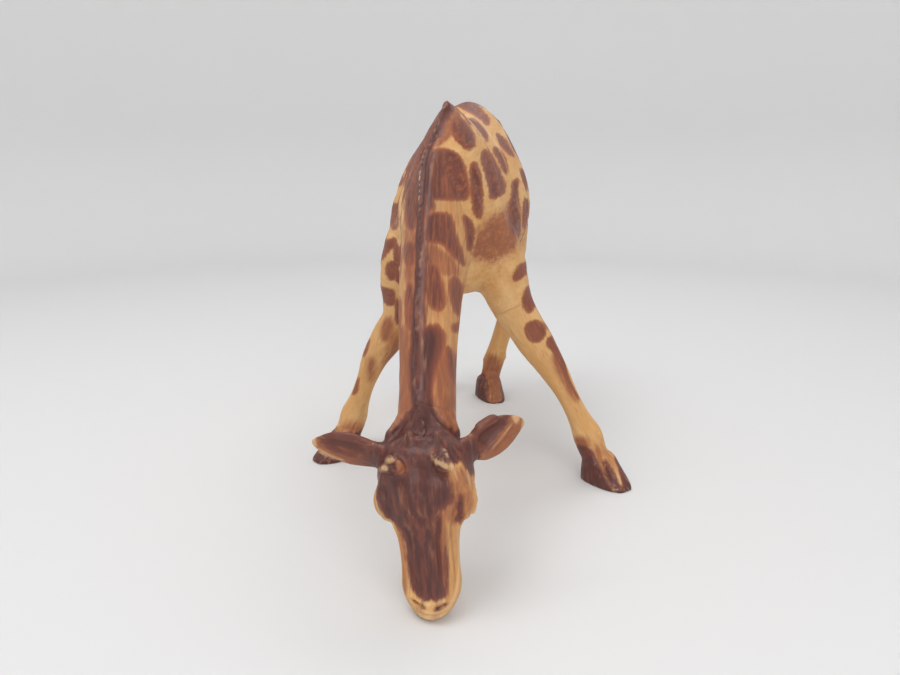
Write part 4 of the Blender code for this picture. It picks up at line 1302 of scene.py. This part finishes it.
def seam_planes(clay):
    """Each glued joint as a plane, fitted to where the clay of two mouldings meets."""
    first, second = clay.owners[clay.edges].T
    middles = clay.points[clay.edges].mean(axis=1)
    planes = {}
    for a, b in product(range(len(NODES)), repeat=2):
        meets = ((first == a) & (second == b)) | ((first == b) & (second == a))
        if a == b or meets.sum() < MIN_SEAM_EDGES:
            continue
        rim = middles[meets]
        centre = rim.mean(axis=0)
        normal = np.linalg.svd(rim - centre, full_matrices=False)[2][2]
        touching = np.unique(clay.edges[meets])
        beyond = clay.points[touching[clay.owners[touching] == b]].mean(axis=0)
        before = clay.points[touching[clay.owners[touching] == a]].mean(axis=0)
        outward = normal if (beyond - before) @ normal > 0 else -normal
        planes[NODES[a], NODES[b]] = (centre, outward, np.linalg.norm(rim - centre, axis=1).max())
    return planes


def with_layers(points, faces, layers):
    """A mesh that carries the layers as attributes of its points."""
    mesh = bpy.data.meshes.new("skin")
    mesh.from_pydata(points.tolist(), [], faces.tolist())
    for name, values in layers.items():
        kind, field = ("FLOAT_VECTOR", "vector") if values.ndim == 2 else ("FLOAT", "value")
        layer = mesh.attributes.new(name, kind, "POINT")
        layer.data.foreach_set(field, values.astype(np.float32).ravel())
    return mesh


def cut_piece(clay, layers, name, planes):
    """One closed moulding, cut from the clay by the planes of its joints."""
    joints = [(other, *plane, POLL_MARGIN if {name, other} == {"head", "neck"} else SEAM_MARGIN)
              for (mine, other), plane in planes.items() if mine == name]
    keep = clay.owners == NODES.index(name)
    for other, centre, outward, radius, margin in joints:
        rays = clay.points - centre
        reach = 0.3 * radius if radius < SMALL_JOINT else 2 * SEAM_MARGIN
        near = np.linalg.norm(rays, axis=1) < radius + reach
        near &= abs(rays @ outward) < margin
        keep |= near & (clay.owners == NODES.index(other))
    chosen = clay.faces[keep[clay.faces].all(axis=1)]
    used, corners = np.unique(chosen.ravel(), return_inverse=True)
    mesh = with_layers(clay.points[used], corners.reshape(-1, 4),
                       {key: values[used] for key, values in layers.items()})
    bm = bmesh.new()
    bm.from_mesh(mesh)
    for face in bm.faces:
        face.smooth = True
    for _, centre, outward, radius, margin in joints:
        middle, away = Vector(centre), Vector(outward)
        reach = 0.4 * radius if radius < SMALL_JOINT else 3 * SEAM_MARGIN
        verts = {vert for vert in bm.verts if (vert.co - middle).length < radius + reach
                 and abs((vert.co - middle).dot(away)) < 2 * margin}
        faces = {face for vert in verts for face in vert.link_faces}
        edges = {edge for face in faces for edge in face.edges}
        verts = {vert for face in faces for vert in face.verts}
        bmesh.ops.bisect_plane(bm, geom=[*verts, *edges, *faces], plane_co=middle, plane_no=away,
                               clear_outer=True)
    drop_crumbs(bm)
    cap_joints(bm)
    bm.to_mesh(mesh)
    bm.free()
    mesh.name = name + "_skin"
    keep_clay_normals(mesh)
    return mesh


def drop_crumbs(bm):
    """Keeps the largest connected body and drops loose bits that a cut has left."""
    unseen = set(bm.verts)
    bodies = []
    while unseen:
        edge_of_search = [unseen.pop()]
        body = set(edge_of_search)
        while edge_of_search:
            vert = edge_of_search.pop()
            for link in vert.link_edges:
                other = link.other_vert(vert)
                if other in unseen:
                    unseen.discard(other)
                    body.add(other)
                    edge_of_search.append(other)
        bodies.append(body)
    bodies.sort(key=len)
    crumbs = [vert for body in bodies[:-1] for vert in body]
    bmesh.ops.delete(bm, geom=crumbs, context="VERTS")


def cap_joints(bm):
    """Closes each cut with a flat face."""
    rim = [edge for edge in bm.edges if edge.is_boundary]
    caps = bmesh.ops.holes_fill(bm, edges=rim, sides=0)["faces"]
    caps = bmesh.ops.triangulate(bm, faces=caps)["faces"]
    for face in caps:
        face.smooth = False


def keep_clay_normals(mesh):
    """Shades the skin as the whole clay was, so that no joint shows as a line."""
    face_normals = read_all(mesh.polygons, "normal", 3)
    sides = read_all(mesh.polygons, "loop_total", kind=np.int32)
    face_of_corner = np.repeat(np.arange(len(sides)), sides)
    vertex_of_corner = read_all(mesh.loops, "vertex_index", kind=np.int32)
    corner_normals = read_all(mesh.attributes["clay_normal"].data, "vector", 3)[vertex_of_corner]
    on_cap = ~read_all(mesh.polygons, "use_smooth", kind=bool)[face_of_corner]
    corner_normals[on_cap] = face_normals[face_of_corner[on_cap]]
    corner_normals /= np.maximum(np.linalg.norm(corner_normals, axis=1), 1e-9)[:, None]
    mesh.normals_split_custom_set(corner_normals.tolist())
    mesh.attributes.remove(mesh.attributes["clay_normal"])


def meet_head(body, head):
    """Draws the body's clay onto the head's beside the joint of the neck, so that no step shows."""
    centre, outward, radius = seam_planes(head)["head", "neck"]
    tree = head.tree()
    rays = body.points - centre
    weight = 1 - smoothstep(1.2 * MM, 4.0 * MM, abs(rays @ outward))
    weight *= np.linalg.norm(rays, axis=1) < radius + 3 * MM
    for k in np.nonzero(weight > 0)[0]:
        place = tree.find_nearest(Vector(body.points[k]))[0]
        body.points[k] += weight[k] * (np.array(place) - body.points[k])


def make_pieces():
    paint = painted_vinyl()
    body, head = body_clay(), head_clay()
    meet_head(body, head)
    body_planes = seam_planes(body)
    planes = {**seam_planes(head), **{key: plane for key, plane in body_planes.items()
                                      if "left_ear" not in key and "right_ear" not in key}}
    layers = {clay: Painter(clay).layers() for clay in (body, head)}
    for name in NODES:
        clay = head if name in HEAD_NODES else body
        mesh = cut_piece(clay, layers[clay], name, planes)
        mesh.materials.append(paint)
        piece = scene_object(name + "_figure", mesh)
        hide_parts(name)
        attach(piece, "root")


# Studio

FLOOR_RADIUS = 0.46
COVE_RADIUS = 0.12
WALL_HEIGHT = 0.9
STAGE_SIDES = 128
COVE_STEPS = 12

# Lamps: place, target, size and power
LAMPS = {"key": ((-0.20, -0.18, 0.56), (0, 0, 0.04), 0.30, 1.20),
         "fill": ((0.16, -0.42, 0.26), (0, 0, 0.05), 0.30, 0.66),
         "rim": ((0.12, 0.32, 0.50), (0, 0, 0.06), 0.34, 0.42)}


def make_stage():
    """A pale round floor that curves up into a wall all round, as a paper sweep does."""
    profile = [(0.05, 0.0), (0.15, 0.0), (FLOOR_RADIUS, 0.0)]
    for k in range(1, COVE_STEPS + 1):
        angle = pi / 2 * k / COVE_STEPS
        profile.append((FLOOR_RADIUS + COVE_RADIUS * sin(angle), COVE_RADIUS * (1 - cos(angle))))
    profile.append((FLOOR_RADIUS + COVE_RADIUS, WALL_HEIGHT))
    bm = bmesh.new()
    middle = bm.verts.new((0, 0, 0))
    rows = []
    for radius, height in profile:
        rows.append([bm.verts.new((radius * cos(2 * pi * k / STAGE_SIDES),
                                   radius * sin(2 * pi * k / STAGE_SIDES), height))
                     for k in range(STAGE_SIDES)])
    for k in range(STAGE_SIDES):
        after = (k + 1) % STAGE_SIDES
        bm.faces.new((middle, rows[0][k], rows[0][after]))
        for low, high in zip(rows, rows[1:]):
            bm.faces.new((low[k], high[k], high[after], low[after]))
    mesh = mesh_of(bm, "floor")
    mesh.shade_smooth()
    material = bpy.data.materials.new("white_paper")
    material.use_nodes = True
    shader = material.node_tree.nodes["Principled BSDF"]
    shader.inputs["Base Color"].default_value = linear(FLOOR_WHITE)
    shader.inputs["Roughness"].default_value = 0.75
    mesh.materials.append(material)
    scene_object("floor", mesh)


def make_lamp(name, place, target, size, power):
    light = bpy.data.lights.new(name, "AREA")
    light.size = size
    light.energy = power
    lamp = bpy.data.objects.new(name, light)
    bpy.context.scene.collection.objects.link(lamp)
    lamp.location = place
    lamp.rotation_euler = (Vector(target) - Vector(place)).to_track_quat("-Z", "Y").to_euler()


def make_lights():
    world = bpy.data.worlds.new("soft_room")
    bpy.context.scene.world = world
    world.use_nodes = True
    sky = world.node_tree.nodes["Background"]
    sky.inputs["Color"].default_value = (1.0, 1.0, 1.0, 1.0)
    sky.inputs["Strength"].default_value = 0.95
    for name, settings in LAMPS.items():
        make_lamp(name, *settings)


def make_camera():
    data = bpy.data.cameras.new("camera")
    data.sensor_width = SENSOR_WIDTH
    data.lens = FOCAL_PIXELS * SENSOR_WIDTH / IMAGE_WIDTH
    data.clip_start = 0.01
    camera = bpy.data.objects.new("camera", data)
    bpy.context.scene.collection.objects.link(camera)
    camera.location = CAMERA_PLACE
    camera.rotation_euler = (pi / 2 - CAMERA_TIP, 0.0, CAMERA_TURN)
    bpy.context.scene.camera = camera


make_pieces()
make_stage()
make_lights()
make_camera()
bpy.context.scene.view_settings.view_transform = "Standard"
